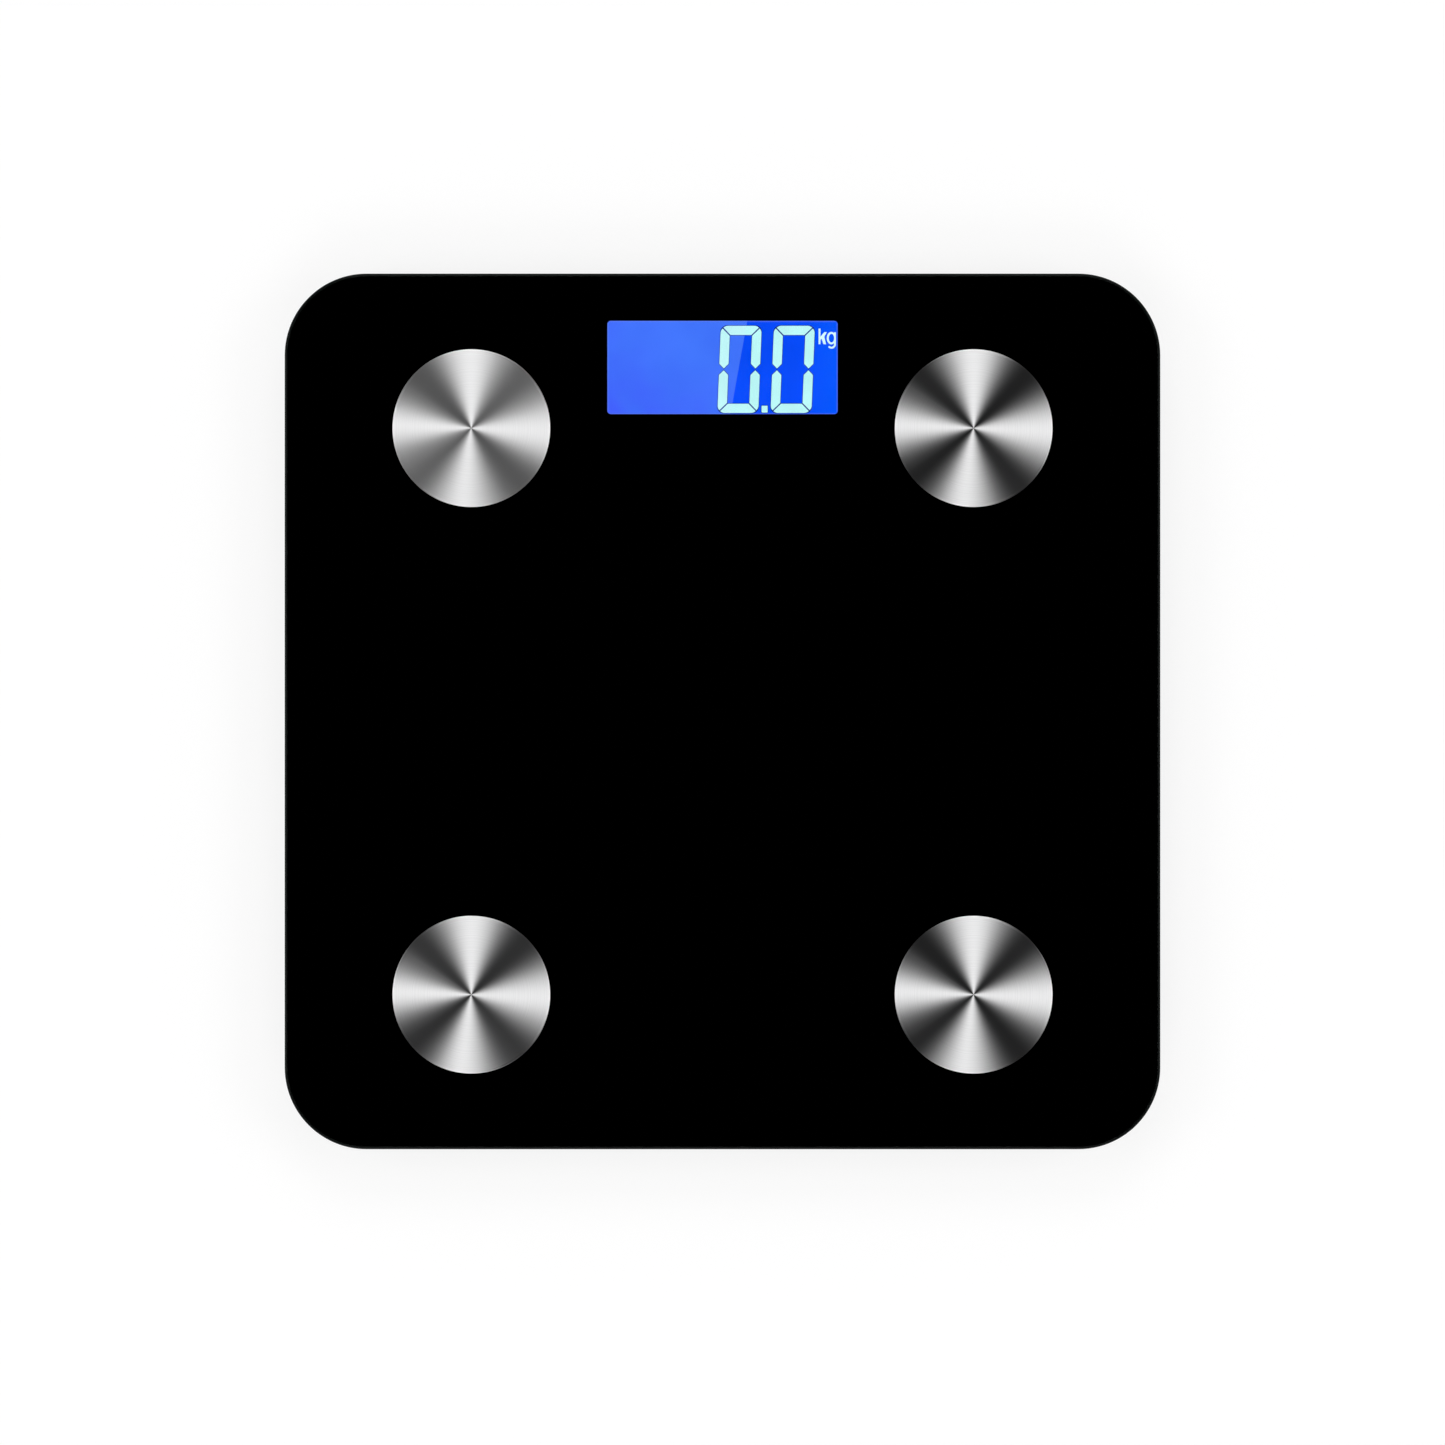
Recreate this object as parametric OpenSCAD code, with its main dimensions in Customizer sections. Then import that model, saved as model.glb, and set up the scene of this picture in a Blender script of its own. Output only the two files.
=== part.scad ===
// Digital bathroom scale: a toughened glass platform bonded to a moulded tray,
// four load cells on sprung feet, four skin electrodes, a lit display and an AAA battery box.
// Millimetres, +Z up. The origin is the centre of the square that the feet stand on.

/* [Platform] */
// Width of the glass
glass_w = 300; // [280:1:340]
// Depth of the glass
glass_d = 300; // [290:1:340]
// Thickness of the glass
glass_t = 5; // [4:0.5:8]
// Corner radius of the glass
glass_corner_r = 28; // [22:1:40]
// Rounding of the ground glass edge
glass_arris_r = 0.8; // [0.5:0.1:1.9]
// Thickness of the black print film under the glass
print_t = 0.15; // [0.1:0.05:0.4]

/* [Electrodes] */
// Diameter of an electrode disc
electrode_d = 54; // [40:1:62]
// Thickness of an electrode disc
electrode_t = 0.6; // [0.5:0.1:1.2]
// Rounding of the disc's rolled rim
electrode_rim_r = 0.25; // [0.1:0.05:0.25]
// Distance of an electrode's centre from the glass's side edge
electrode_x = 64; // [60:1:70]
// Distance of an electrode's centre from the glass's front or rear edge
electrode_y = 53; // [52:1:58]
// Diameter of the electrode's stud
stud_d = 3; // [2.5:0.1:3.4]

/* [Display] */
// Width of the clear window in the print
window_w = 79; // [60:1:82]
// Height of the clear window in the print
window_h = 32; // [26:1:33]
// Corner radius of the window
window_corner_r = 1.2; // [0.6:0.1:3]
// Distance of the window's middle from the glass's rear edge
window_y = 32; // [31.5:0.5:34]
// Thickness of the display's glass pair
cell_glass_t = 2.2; // [1.6:0.1:2.4]
// Thickness of a polariser
polariser_t = 0.2; // [0.15:0.05:0.3]
// Thickness of the light guide
guide_t = 3; // [2:0.1:3.2]

/* [Tray] */
// Distance that the tray's wall stands in from the glass edge
tray_inset = 10; // [9:0.5:11]
// Width of the flange round the tray's rim
flange_w = 5; // [3:0.5:7]
// Thickness of the flange
flange_t = 2; // [1.5:0.1:3]
// Height of the tray, from its underside to its rim
tray_h = 15.2; // [15:0.1:18]
// Thickness of the tray's wall
wall_t = 2.2; // [1.8:0.1:2.6]
// Thickness of the tray's floor
floor_t = 2; // [1.8:0.1:2.2]
// Rounding of the tray's lower edge
tray_edge_r = 4; // [2:0.5:5]
// Thickness of a stiffening rib
rib_t = 1.6; // [1.2:0.1:2.2]
// Thickness of the foam tape under the platform
tape_t = 0.8; // [0.5:0.1:1.2]

/* [Feet] */
// Distance of a foot's centre from the glass's edges, both ways
foot_xy = 40; // [38:0.5:41]
// Height that the feet lift the tray off the floor
foot_drop = 4; // [3.5:0.1:5]
// Diameter of a foot
foot_d = 46.8; // [46.4:0.1:47]
// Diameter of a rubber pad
pad_d = 39; // [30:0.5:41]
// Thickness of a rubber pad
pad_t = 2.4; // [2:0.1:2.8]
// Travel of a foot against its load cell
foot_travel = 0.4; // [0.2:0.05:0.6]
// Running gap round a foot
foot_gap = 0.4; // [0.3:0.05:0.6]

/* [Load cells] */
// Side of the load cell's square frame
cell_w = 34; // [30:0.5:34.4]
// Thickness of the load cell's steel
cell_t = 2; // [1.6:0.1:2.4]
// Width of the load cell's frame bars
cell_bar_w = 5; // [4:0.25:5.5]

/* [Batteries] */
// Diameter of a battery
battery_d = 10.5; // [10.2:0.1:10.6]
// Length of a battery, with its nub
battery_len = 44.5; // [43.5:0.1:45]
// Space that a contact spring fills
spring_len = 4; // [3:0.25:5]
// Thickness of the battery door
door_t = 1.6; // [1.4:0.1:1.7]
// Running gap round the battery door
door_gap = 0.35; // [0.25:0.05:0.5]

/* [Board and button] */
// Width of the circuit board
board_w = 100; // [98:1:104]
// Thickness of the circuit board
board_t = 1.6; // [1.2:0.1:1.6]
// Diameter of the unit button
button_d = 8; // [6:0.5:10]
// Travel of the unit button
button_travel = 0.4; // [0.25:0.05:0.5]
// Diameter of a lead with its insulation
lead_d = 1.2; // [0.9:0.1:1.4]

/* [Hidden] */
$fn = 64;
eps = 0.01;

// Corners of the platform, as [side, end]: -1 is left or front, and 1 is right or rear.
REAR_LEFT = [-1, 1];
REAR_RIGHT = [1, 1];
FRONT_LEFT = [-1, -1];
FRONT_RIGHT = [1, -1];
CORNERS = [REAR_LEFT, REAR_RIGHT, FRONT_LEFT, FRONT_RIGHT];

// Heights, from the floor up.
z_tray = foot_drop;
z_floor = z_tray + floor_t;
z_rim = z_tray + tray_h;
z_print = z_rim + tape_t;
z_glass = z_print + print_t;
z_top = z_glass + glass_t;

// The tray's outline follows the glass.
tray_w = glass_w - 2 * tray_inset;
tray_d = glass_d - 2 * tray_inset;
tray_corner_r = glass_corner_r - tray_inset;
inner_w = tray_w - 2 * wall_t;
inner_d = tray_d - 2 * wall_t;

// Centres of the right rear foot and electrode, and of the window, from the platform's middle.
foot_x0 = glass_w / 2 - foot_xy;
foot_y0 = glass_d / 2 - foot_xy;
electrode_x0 = glass_w / 2 - electrode_x;
electrode_y0 = glass_d / 2 - electrode_y;
window_y0 = glass_d / 2 - window_y;

// Load cell stations: the seat hangs from the well's ceiling, and the foot's post lifts the tongue.
well_r = foot_d / 2 + foot_gap;
well_wall_t = 2;
well_top_t = 2;
seat_rail_h = 1;
seat_rail_w = 3.6;
cell_boss_h = 0.8;
cell_boss_d = 10;
cell_corner_r = 5;
z_ceiling = z_rim - 5.2;
z_well_top = z_ceiling + well_top_t;
z_cell_top = z_ceiling - seat_rail_h;
z_cell = z_cell_top - cell_t;
z_post_top = z_cell - cell_boss_h;
tower_ring_r = 10;
tape_ring_w = 5;
collar_h = 0.6;

// Foot caps.
cap_wall_t = 1.6;
cap_plate_t = 1.8;
cap_edge_r = 1;
z_cap = pad_t / 2;
z_cap_plate = pad_t + cap_plate_t;
z_skirt_top = z_post_top - foot_travel - 0.9;
post_d = 8;
pad_fit = 0.1;
hook_w = 5;
hook_t = 1.6;
hook_reach = 1.2;
hook_play = 0.4;
hook_flex = 1;
hook_r = cell_w / 2 + 1;
hook_slot_gap = 0.3;
hook_angles = [0, 90, 270];
hook_head_h = 1.4;
z_hook = z_well_top + hook_play;

// Leads.
lead_r = lead_d / 2;
lead_pitch = lead_d + 0.2;
lead_bend_r = 3;
lead_lift = 0.1;
z_lead = z_floor + lead_r + lead_lift;
z_lead_cell = z_cell - lead_r - lead_lift;
lane_half_w = 8;
lane_h = 4.5;
lane_gap = 6.2;
lane_x = foot_x0 - well_r - well_wall_t - lane_gap - lane_half_w;
lead_root_r = 11.7;
lead_step = 3;
lead_slope = 6;
pad_pitch = 2;

// Fixings of the electrodes, under the glass.
terminal_t = 0.5;
terminal_len = 9;
barrel_d = 1.9;
nut_h = 2.4;
nut_across = 5.5;
stud_hole_d = stud_d + 1.2;
z_terminal = z_print - terminal_t;
z_nut = z_terminal - nut_h;
z_stud = z_nut - 0.6;
z_barrel = z_terminal - barrel_d / 2 + 0.3;

// Display stack, from the print down to the board.
gasket_t = 0.85;
z_cell_front = z_print - gasket_t;
z_display_glass = z_cell_front - polariser_t - cell_glass_t;
z_rear_polariser = z_display_glass - polariser_t;
z_guide = z_rear_polariser - guide_t;
frame_ledge_t = 0.4;
z_board_top = z_guide - frame_ledge_t;
z_board = z_board_top - board_t;
display_margin_x = 3;
display_w = window_w + 2 * display_margin_x;
display_rear_margin = 1.5;
display_front_margin = 3.5;
display_y0 = window_y0 - window_h / 2 - display_front_margin;
display_y1 = window_y0 + window_h / 2 + display_rear_margin;
display_h = display_y1 - display_y0;
display_y = (display_y0 + display_y1) / 2;
frame_wall_t = 1.2;
frame_fit = 0.15;
frame_ledge_w = 1;
gasket_margin = 1;
zebra_w = 2.4;
zebra_gap = 0.3;
guide_y0 = display_y0 + zebra_w + 2 * zebra_gap;
contact_ledge = 2.8;

// Circuit board.
board_front_margin = 6.5;
board_y0 = display_y0 - board_front_margin;
board_y1 = display_y1 + frame_wall_t + frame_fit;
board_d = board_y1 - board_y0;
board_y = (board_y0 + board_y1) / 2;
board_corner_r = 2;
board_screw_d = 2;
board_screw_head_d = 4.6;
board_screw_inset = 3;
board_screw_gap = 0.85;
display_side = display_w / 2 + frame_wall_t + frame_fit;
board_screw_x = max(
    board_w / 2 - board_screw_inset,
    display_side + board_screw_head_d / 2 + board_screw_gap
);
board_ear_r = 2.8;
board_screw_y = [board_y0 + 4, board_y1 - 4];
boss_d = 6.4;
screw_fit = 0.05;
pad_row_y = board_y0 + 3;
front_pad_x = 34;
rear_pad_x = board_w / 2 - 4.5;
battery_pad_x = 9;
lane_turn_gap = 7;
lane_turn_y = board_y0 - lane_turn_gap;

// Unit button, under its switch on the board.
switch_x = -22;
switch_y = board_y0 + 5;
switch_w = 6;
switch_h = 2.8;
plunger_d = 3.4;
plunger_gap = 0.2;
plunger_inner = 1.2;
z_switch = z_board - switch_h;
button_recess = 0.3;
button_gap = 0.3;
button_flange_d = button_d + 3;
button_flange_t = 0.8;
z_button_flange = z_floor + 0.2;
z_plunger = z_button_flange + button_flange_t;
guide_wall_t = 1.2;

// Battery box.
battery_r = battery_d / 2;
battery_n = 4;
battery_pitch = battery_d + 0.8;
nub_len = 1;
nub_d = 3.8;
plate_t = 0.4;
dimple_h = 0.4;
box_side_gap = 0.6;
box_in_w = battery_n * battery_pitch + box_side_gap;
box_in_d = battery_len + spring_len + 2 * plate_t + dimple_h;
box_wall_t = 1.6;
box_y = 28;
cradle_end = 12;
box_y0 = box_y - box_in_d / 2;
box_y1 = box_y + box_in_d / 2;
z_door_in = z_tray + door_t;
ledge_gap = 0.3;
ledge_t = 1.5;
ledge_w = 2;
z_ledge = z_door_in + ledge_gap;
z_battery = z_door_in + 0.6 + battery_r;
z_box_ceiling = z_battery + battery_r + 0.3;
box_top_t = 1.2;
door_overlap = 1.4;
door_w = box_in_w + 2 * (box_wall_t + door_overlap);
hinge_r = 1.4;
hinge_pin_d = 1.6;
hinge_pin_len = 2;
hinge_fit = 0.06;
hinge_wall_t = 1.2;
z_hinge = z_tray + hinge_r;
door_y0 = box_y0 - box_wall_t - 2 * hinge_r - door_gap;
door_y1 = box_y1 + box_wall_t + door_overlap;
hinge_y = door_y0 + hinge_r;
latch_w = 12;
latch_t = 1;
latch_bend_r = 1.4;
latch_h = 5.5;
barb_reach = 0.8;
pocket_gap = 0.6;
pocket_wall_t = 1.4;
latch_y = door_y1 - latch_t;
latch_y1 = latch_y + 2 * latch_bend_r;

function flat(v) = [v[0], v[1]];
function unit(v) = v / norm(v);

// Two-dimensional rectangle with rounded corners, in the middle of the plane.
module rounded_rect(w, d, r) {
    square([w - 2 * r, d], center = true);
    square([w, d - 2 * r], center = true);
    for (x = [-1, 1], y = [-1, 1]) translate([x * (w / 2 - r), y * (d / 2 - r)]) circle(r);
}

module rounded_slab(w, d, r, z0, z1) {
    translate([0, 0, z0]) linear_extrude(z1 - z0) rounded_rect(w, d, r);
}

// Slab whose edge has the children's outline: x runs from 0, at the corner radius's centre,
// to r, at the outermost edge, and y is the height.
module profiled_slab(w, d, r, z0, z1) {
    wx = w - 2 * r;
    dy = d - 2 * r;
    translate([-wx / 2, -dy / 2, z0]) cube([wx, dy, z1 - z0]);
    for (q = [0:3]) {
        across = q % 2 == 0 ? wx : dy;
        along = q % 2 == 0 ? dy : wx;
        rotate(q * 90) {
            translate([across / 2, along / 2, 0]) rotate([90, 0, 0]) linear_extrude(along) children();
            translate([across / 2, along / 2, 0]) rotate_extrude(angle = 90) children();
        }
    }
}

// Moves the children to a corner station, turned so that its leads leave towards the middle.
module station(c) {
    translate([c[0] * foot_x0, c[1] * foot_y0, 0]) rotate(c[0] > 0 ? 0 : 180) children();
}

module at_electrode(c) {
    translate([c[0] * electrode_x0, c[1] * electrode_y0, 0]) children();
}

// ---- Leads: tubes swept along routes with rounded corners ----

function corner_arc(a, b, c, r, steps = 3) =
    let (
        d0 = unit(b - a),
        d1 = unit(c - b),
        turn = acos(max(-1, min(1, d0 * d1)))
    )
    turn < 1 ? [b] :
    let (
        back = min(r * tan(turn / 2), 0.48 * norm(b - a), 0.48 * norm(c - b)),
        bend = back / tan(turn / 2),
        inward = unit(d1 - (d1 * d0) * d0),
        centre = b - back * d0 + bend * inward
    )
    [
        for (i = [0:steps])
            let (a = turn * i / steps)
            centre - bend * cos(a) * inward + bend * sin(a) * d0,
    ];

function rounded_route(p, r) = [
    p[0],
    for (i = [1:len(p) - 2]) each corner_arc(p[i - 1], p[i], p[i + 1], r),
    p[len(p) - 1],
];

function tangent(p, i) = unit(p[min(i + 1, len(p) - 1)] - p[max(i - 1, 0)]);

// Sweeps a round section along a path, where normals holds one sideways direction for each point.
module swept_tube(path, normals, r, sides) {
    n = len(path);
    points = [
        for (i = [0:n - 1])
            let (u = normals[i], v = cross(u, tangent(path, i)))
            for (k = [0:sides - 1]) path[i] + r * (cos(360 * k / sides) * u + sin(360 * k / sides) * v),
    ];
    walls = [
        for (i = [0:n - 2], k = [0:sides - 1])
            let (a = i * sides + k, b = i * sides + (k + 1) % sides)
            [a, b, b + sides, a + sides],
    ];
    ends = [
        [for (k = [sides - 1:-1:0]) k],
        [for (k = [0:sides - 1]) (n - 1) * sides + k],
    ];
    polyhedron(points = points, faces = concat(walls, ends), convexity = 6);
}

module lead(points) {
    path = rounded_route(points, lead_bend_r);
    sideways = [for (i = [0:len(path) - 1]) unit(cross(tangent(path, i), [0, 0, 1]))];
    swept_tube(path, sideways, lead_r, 6);
}

// ---- Platform ----

module glass_platform() {
    color([0.03, 0.03, 0.04, 0.6]) difference() {
        profiled_slab(glass_w, glass_d, glass_corner_r, z_glass, z_top) glass_edge();
        for (c = CORNERS) at_electrode(c)
            translate([0, 0, z_glass - 1]) cylinder(d = stud_hole_d, h = glass_t + 2);
    }
}

module glass_edge() {
    translate([0, z_glass]) square([glass_corner_r - glass_arris_r, glass_t]);
    translate([0, z_glass + glass_arris_r])
        square([glass_corner_r, glass_t - 2 * glass_arris_r]);
    for (z = [z_glass + glass_arris_r, z_top - glass_arris_r])
        translate([glass_corner_r - glass_arris_r, z]) circle(glass_arris_r);
}

module back_print() {
    margin = glass_arris_r;
    color([0.01, 0.01, 0.01]) difference() {
        rounded_slab(glass_w - 2 * margin, glass_d - 2 * margin, glass_corner_r - margin,
            z_print, z_glass);
        translate([0, window_y0, 0])
            rounded_slab(window_w, window_h, window_corner_r, z_print - 1, z_glass + 1);
        for (c = CORNERS) at_electrode(c)
            translate([0, 0, z_print - 1]) cylinder(d = stud_hole_d, h = print_t + 2);
    }
}

// Spun steel disc with a rolled rim, and the stud that reaches through the glass.
module electrode(c) {
    color([0.8, 0.8, 0.81]) at_electrode(c) {
        rotate_extrude() translate([0, z_top]) electrode_section();
        translate([0, 0, z_stud]) cylinder(d = stud_d, h = z_top - z_stud + electrode_t / 2);
    }
}

module electrode_section() {
    r = electrode_d / 2;
    square([r - electrode_rim_r, electrode_t]);
    square([r, electrode_t - electrode_rim_r]);
    translate([r - electrode_rim_r, electrode_t - electrode_rim_r]) circle(electrode_rim_r);
}

// Ring tongues that carry each electrode's signal, with a crimped barrel.
module electrode_terminals() {
    color([0.78, 0.7, 0.45]) for (c = CORNERS) at_electrode(c) rotate(c[0] > 0 ? 180 : 0) {
        difference() {
            translate([0, 0, z_terminal]) linear_extrude(terminal_t) {
                circle(d = stud_d + 3.6);
                translate([0, -1]) square([terminal_len - 3, 2]);
            }
            translate([0, 0, z_terminal - 1]) cylinder(d = stud_d + 0.2, h = terminal_t + 2);
        }
        translate([terminal_len - 3.5, 0, z_barrel]) rotate([0, 90, 0]) cylinder(d = barrel_d, h = 3.5);
    }
}

module electrode_nuts() {
    color([0.75, 0.75, 0.75]) for (c = CORNERS) at_electrode(c) translate([0, 0, z_nut]) difference() {
        cylinder(d = nut_across / cos(30), h = nut_h, $fn = 6);
        translate([0, 0, -1]) cylinder(d = stud_d + 0.1, h = nut_h + 2, $fn = 48);
    }
}

// ---- Tapes and gasket ----

module rim_tape() {
    out = 2 * (flange_w - 0.6);
    in = -2 * (wall_t - 0.3);
    color([0.12, 0.12, 0.12]) difference() {
        rounded_slab(tray_w + out, tray_d + out, tray_corner_r + out / 2, z_rim, z_print);
        rounded_slab(tray_w + in, tray_d + in, tray_corner_r + in / 2, z_rim - 1, z_print + 1);
    }
}

module tower_tape() {
    color([0.12, 0.12, 0.12]) for (c = CORNERS) station(c) translate([0, 0, z_rim]) difference() {
        cylinder(r = tower_ring_r + tape_ring_w / 2, h = tape_t);
        translate([0, 0, -1]) cylinder(r = tower_ring_r - tape_ring_w / 2, h = tape_t + 2);
    }
}

module display_gasket() {
    color([0.15, 0.15, 0.15]) difference() {
        display_slab(display_w, display_h, z_cell_front, z_print);
        translate([0, window_y0, 0])
            rounded_slab(window_w + 2 * gasket_margin, window_h + 2 * gasket_margin,
                window_corner_r + gasket_margin, z_cell_front - 1, z_print + 1);
    }
}

// ---- Display ----

// Plain block in the middle of the display's footprint.
module display_slab(w, h, z0, z1) {
    translate([-w / 2, display_y - h / 2, z0]) cube([w, h, z1 - z0]);
}

module front_polariser() {
    y0 = display_y0 + contact_ledge + 0.2;
    color([0.05, 0.25, 0.9]) translate([-display_w / 2 + 0.5, y0, z_cell_front - polariser_t])
        cube([display_w - 1, display_y1 - 0.5 - y0, polariser_t]);
}

// Two glass sheets: the rear one runs on to the front as the contact ledge.
module display_cell() {
    sheet = cell_glass_t / 2;
    color([0.5, 0.6, 0.75, 0.5]) {
        display_slab(display_w, display_h, z_display_glass, z_display_glass + sheet);
        translate([-display_w / 2, display_y0 + contact_ledge, z_display_glass + sheet])
            cube([display_w, display_h - contact_ledge, sheet]);
    }
}

module rear_polariser() {
    color([0.35, 0.35, 0.4]) translate([-display_w / 2 + 0.5, guide_y0, z_rear_polariser])
        cube([display_w - 1, display_y1 - guide_y0 - 0.5, polariser_t]);
}

led_w = 3.5;
led_d = 1.4;
led_h = 1.6;
led_x = window_w / 4;

module light_guide() {
    color([0.92, 0.95, 1, 0.7]) difference() {
        translate([-display_w / 2 + frame_fit, guide_y0, z_guide])
            cube([display_w - 2 * frame_fit, display_y1 - guide_y0 - frame_fit, guide_t]);
        for (s = [-1, 1])
            translate([s * led_x - led_w / 2 - 0.2, display_y1 - led_d - 0.6, z_guide - 1])
                cube([led_w + 0.4, led_d + 2, led_h + 1.4]);
    }
}

module backlight_leds() {
    color([0.95, 0.95, 0.85]) for (s = [-1, 1])
        translate([s * led_x - led_w / 2, display_y1 - led_d - 0.4, z_board_top])
            cube([led_w, led_d, frame_ledge_t + led_h]);
}

// Moulded frame that stands on the board and holds the light guide and display glass.
module display_frame() {
    out = 2 * (frame_wall_t + frame_fit);
    color([0.93, 0.93, 0.93]) difference() {
        display_slab(display_w + out, display_h + out, z_board_top, z_cell_front - 0.3);
        display_slab(display_w + 2 * frame_fit, display_h + 2 * frame_fit, z_guide, z_print);
        translate([-display_w / 2 + frame_ledge_w, display_y0 - frame_fit, z_board_top - 1])
            cube([display_w - 2 * frame_ledge_w, display_h - frame_ledge_w + frame_fit, 3]);
        for (s = [-1, 1])
            translate([s * led_x - led_w / 2 - 0.3, display_y1 - led_d - 0.7, z_board_top - 1])
                cube([led_w + 0.6, led_d + 0.7, led_h + 2]);
    }
}

module zebra_strip() {
    color([0.85, 0.55, 0.6]) translate([-display_w / 2 + 2, display_y0 + zebra_gap, z_board_top])
        cube([display_w - 4, zebra_w, z_display_glass - z_board_top]);
}

// ---- Circuit board ----

// The board's ears reach out to its screws where the display frame leaves them no room.
module main_board() {
    color([0.05, 0.35, 0.2]) difference() {
        translate([0, 0, z_board]) linear_extrude(board_t) {
            translate([0, board_y]) rounded_rect(board_w, board_d, board_corner_r);
            for (y = board_screw_y) translate([0, y]) {
                square([2 * board_screw_x, 2 * board_ear_r], center = true);
                for (s = [-1, 1]) translate([s * board_screw_x, 0]) circle(board_ear_r);
            }
        }
        for (s = [-1, 1], y = board_screw_y)
            translate([s * board_screw_x, y, z_board - 1])
                cylinder(d = board_screw_d + 0.6, h = board_t + 2);
    }
}

chip_d = 13;
chip_h = 1.5;
chip_crown = 0.03;
chip_xy = [board_w * 0.14, board_y + 4];

// Black resin dome over the bonded chip, with a small flat at its crown.
module chip_cover() {
    rise = chip_h + chip_crown;
    dome_r = (pow(chip_d / 2, 2) + pow(rise, 2)) / (2 * rise);
    color([0.02, 0.02, 0.02]) translate([chip_xy[0], chip_xy[1], z_board]) intersection() {
        translate([0, 0, dome_r - rise]) sphere(dome_r, $fn = 96);
        translate([0, 0, -chip_h]) cylinder(d = chip_d + 2, h = chip_h);
    }
}

radio_w = 13;
radio_d = 18;
radio_board_t = 0.8;
shield_w = 10;
shield_h = 1.6;

module radio_module() {
    translate([-board_w / 4 - 4, board_y + 6, z_board - radio_board_t]) {
        color([0.05, 0.2, 0.4]) translate([-radio_w / 2, -radio_d / 2, 0])
            cube([radio_w, radio_d, radio_board_t]);
        color([0.8, 0.8, 0.8]) translate([-shield_w / 2, -radio_d / 2 + 1, -shield_h])
            cube([shield_w, shield_w, shield_h]);
    }
}

module quartz_can() {
    can_w = 10;
    can_d = 4;
    can_h = 3.2;
    can_gap = 4.5;
    color([0.82, 0.82, 0.8]) translate([chip_xy[0] + (chip_d + can_w) / 2 + can_gap, chip_xy[1], 0])
        rounded_slab(can_w, can_d, can_d / 2 - 0.1, z_board - can_h, z_board);
}

capacitor_d = 5;
capacitor_h = 4;

module board_capacitors() {
    color([0.15, 0.15, 0.3]) for (i = [0, 1])
        translate([chip_xy[0] + 13 + i * (capacitor_d + 1.5), chip_xy[1] + 10, z_board - capacitor_h])
            cylinder(d = capacitor_d, h = capacitor_h);
}

// Chip resistors and capacitors in two rows beside the resin dome.
module board_parts() {
    part = [2, 1.25, 0.6];
    color([0.6, 0.5, 0.4]) for (i = [0:5], row = [0, 1])
        let (x = chip_xy[0] - 22 + i * 3.4 - (i > 2 ? 0 : 1), y = chip_xy[1] - 12 + row * 3)
            translate([x, y, z_board - part[2]]) cube(part);
}

// Where each lead meets the board: [x, y] of the joint.
function front_pad(c, k) = [c[0] * (front_pad_x + k * pad_pitch), pad_row_y];
function rear_pad(c, k) = [c[0] * rear_pad_x, foot_y0 + k * pad_pitch];
function rear_electrode_pad(c) = [c[0] * rear_pad_x, foot_y0 - 4.5 * pad_pitch];
function battery_pad(s) = [s * battery_pad_x, pad_row_y];

SENSOR_CORES = [-1, 0, 1];
JOINT_PLACES = concat(
    [for (c = [FRONT_LEFT, FRONT_RIGHT], k = [-1, 0, 1, 3]) front_pad(c, k)],
    [for (c = [REAR_LEFT, REAR_RIGHT], k = SENSOR_CORES) rear_pad(c, k)],
    [for (c = [REAR_LEFT, REAR_RIGHT]) rear_electrode_pad(c)],
    [for (s = [-1, 1]) battery_pad(s)]
);
joint_h = 0.5;

module solder_joints() {
    color([0.75, 0.76, 0.78]) for (p = JOINT_PLACES)
        translate([p[0], p[1], z_board - joint_h]) cylinder(d = 1.6, h = joint_h, $fn = 24);
}

module switch_housing() {
    hole_h = plunger_inner + button_travel + 0.3;
    color([0.1, 0.1, 0.1]) translate([switch_x, switch_y, z_switch]) difference() {
        translate([-switch_w / 2, -switch_w / 2, 0]) cube([switch_w, switch_w, switch_h]);
        translate([0, 0, -1]) cylinder(d = plunger_d + 2 * plunger_gap, h = 1 + hole_h);
    }
}

module switch_plunger() {
    color([0.8, 0.75, 0.6]) translate([switch_x, switch_y, z_plunger])
        cylinder(d = plunger_d, h = z_switch + plunger_inner - z_plunger);
}

module board_screws() {
    screw_len = 4.5;
    head_h = 1.4;
    color([0.6, 0.6, 0.62]) for (s = [-1, 1], y = board_screw_y) translate([s * board_screw_x, y, 0]) {
        translate([0, 0, z_board_top]) difference() {
            cylinder(d = board_screw_head_d, h = head_h);
            for (a = [0, 90]) rotate(a) translate([-1.3, -0.25, head_h - 0.7]) cube([2.6, 0.5, 1]);
        }
        translate([0, 0, z_board - screw_len]) cylinder(d = board_screw_d, h = board_t + screw_len);
    }
}

// ---- Tray ----

module base_tray() {
    color([0.06, 0.06, 0.065]) difference() {
        union() {
            tray_shell();
            for (c = CORNERS) station(c) well_block();
            box_block();
            latch_pocket_block();
            board_bosses();
            tray_ribs();
            button_guide();
        }
        for (c = CORNERS) station(c) well_cuts();
        box_cuts();
        latch_pocket_cuts();
        button_hole();
        underside_marks();
    }
}

module tray_shell() {
    difference() {
        union() {
            profiled_slab(tray_w, tray_d, tray_corner_r, z_tray, z_rim) tray_edge();
            rounded_slab(tray_w + 2 * flange_w, tray_d + 2 * flange_w, tray_corner_r + flange_w,
                z_rim - flange_t, z_rim);
        }
        rounded_slab(inner_w, inner_d, tray_corner_r - wall_t, z_floor, z_rim + 1);
    }
}

module tray_edge() {
    translate([0, z_tray]) square([tray_corner_r - tray_edge_r, tray_h]);
    translate([0, z_tray + tray_edge_r]) square([tray_corner_r, tray_h - tray_edge_r]);
    translate([tray_corner_r - tray_edge_r, z_tray + tray_edge_r]) circle(tray_edge_r);
}

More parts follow.
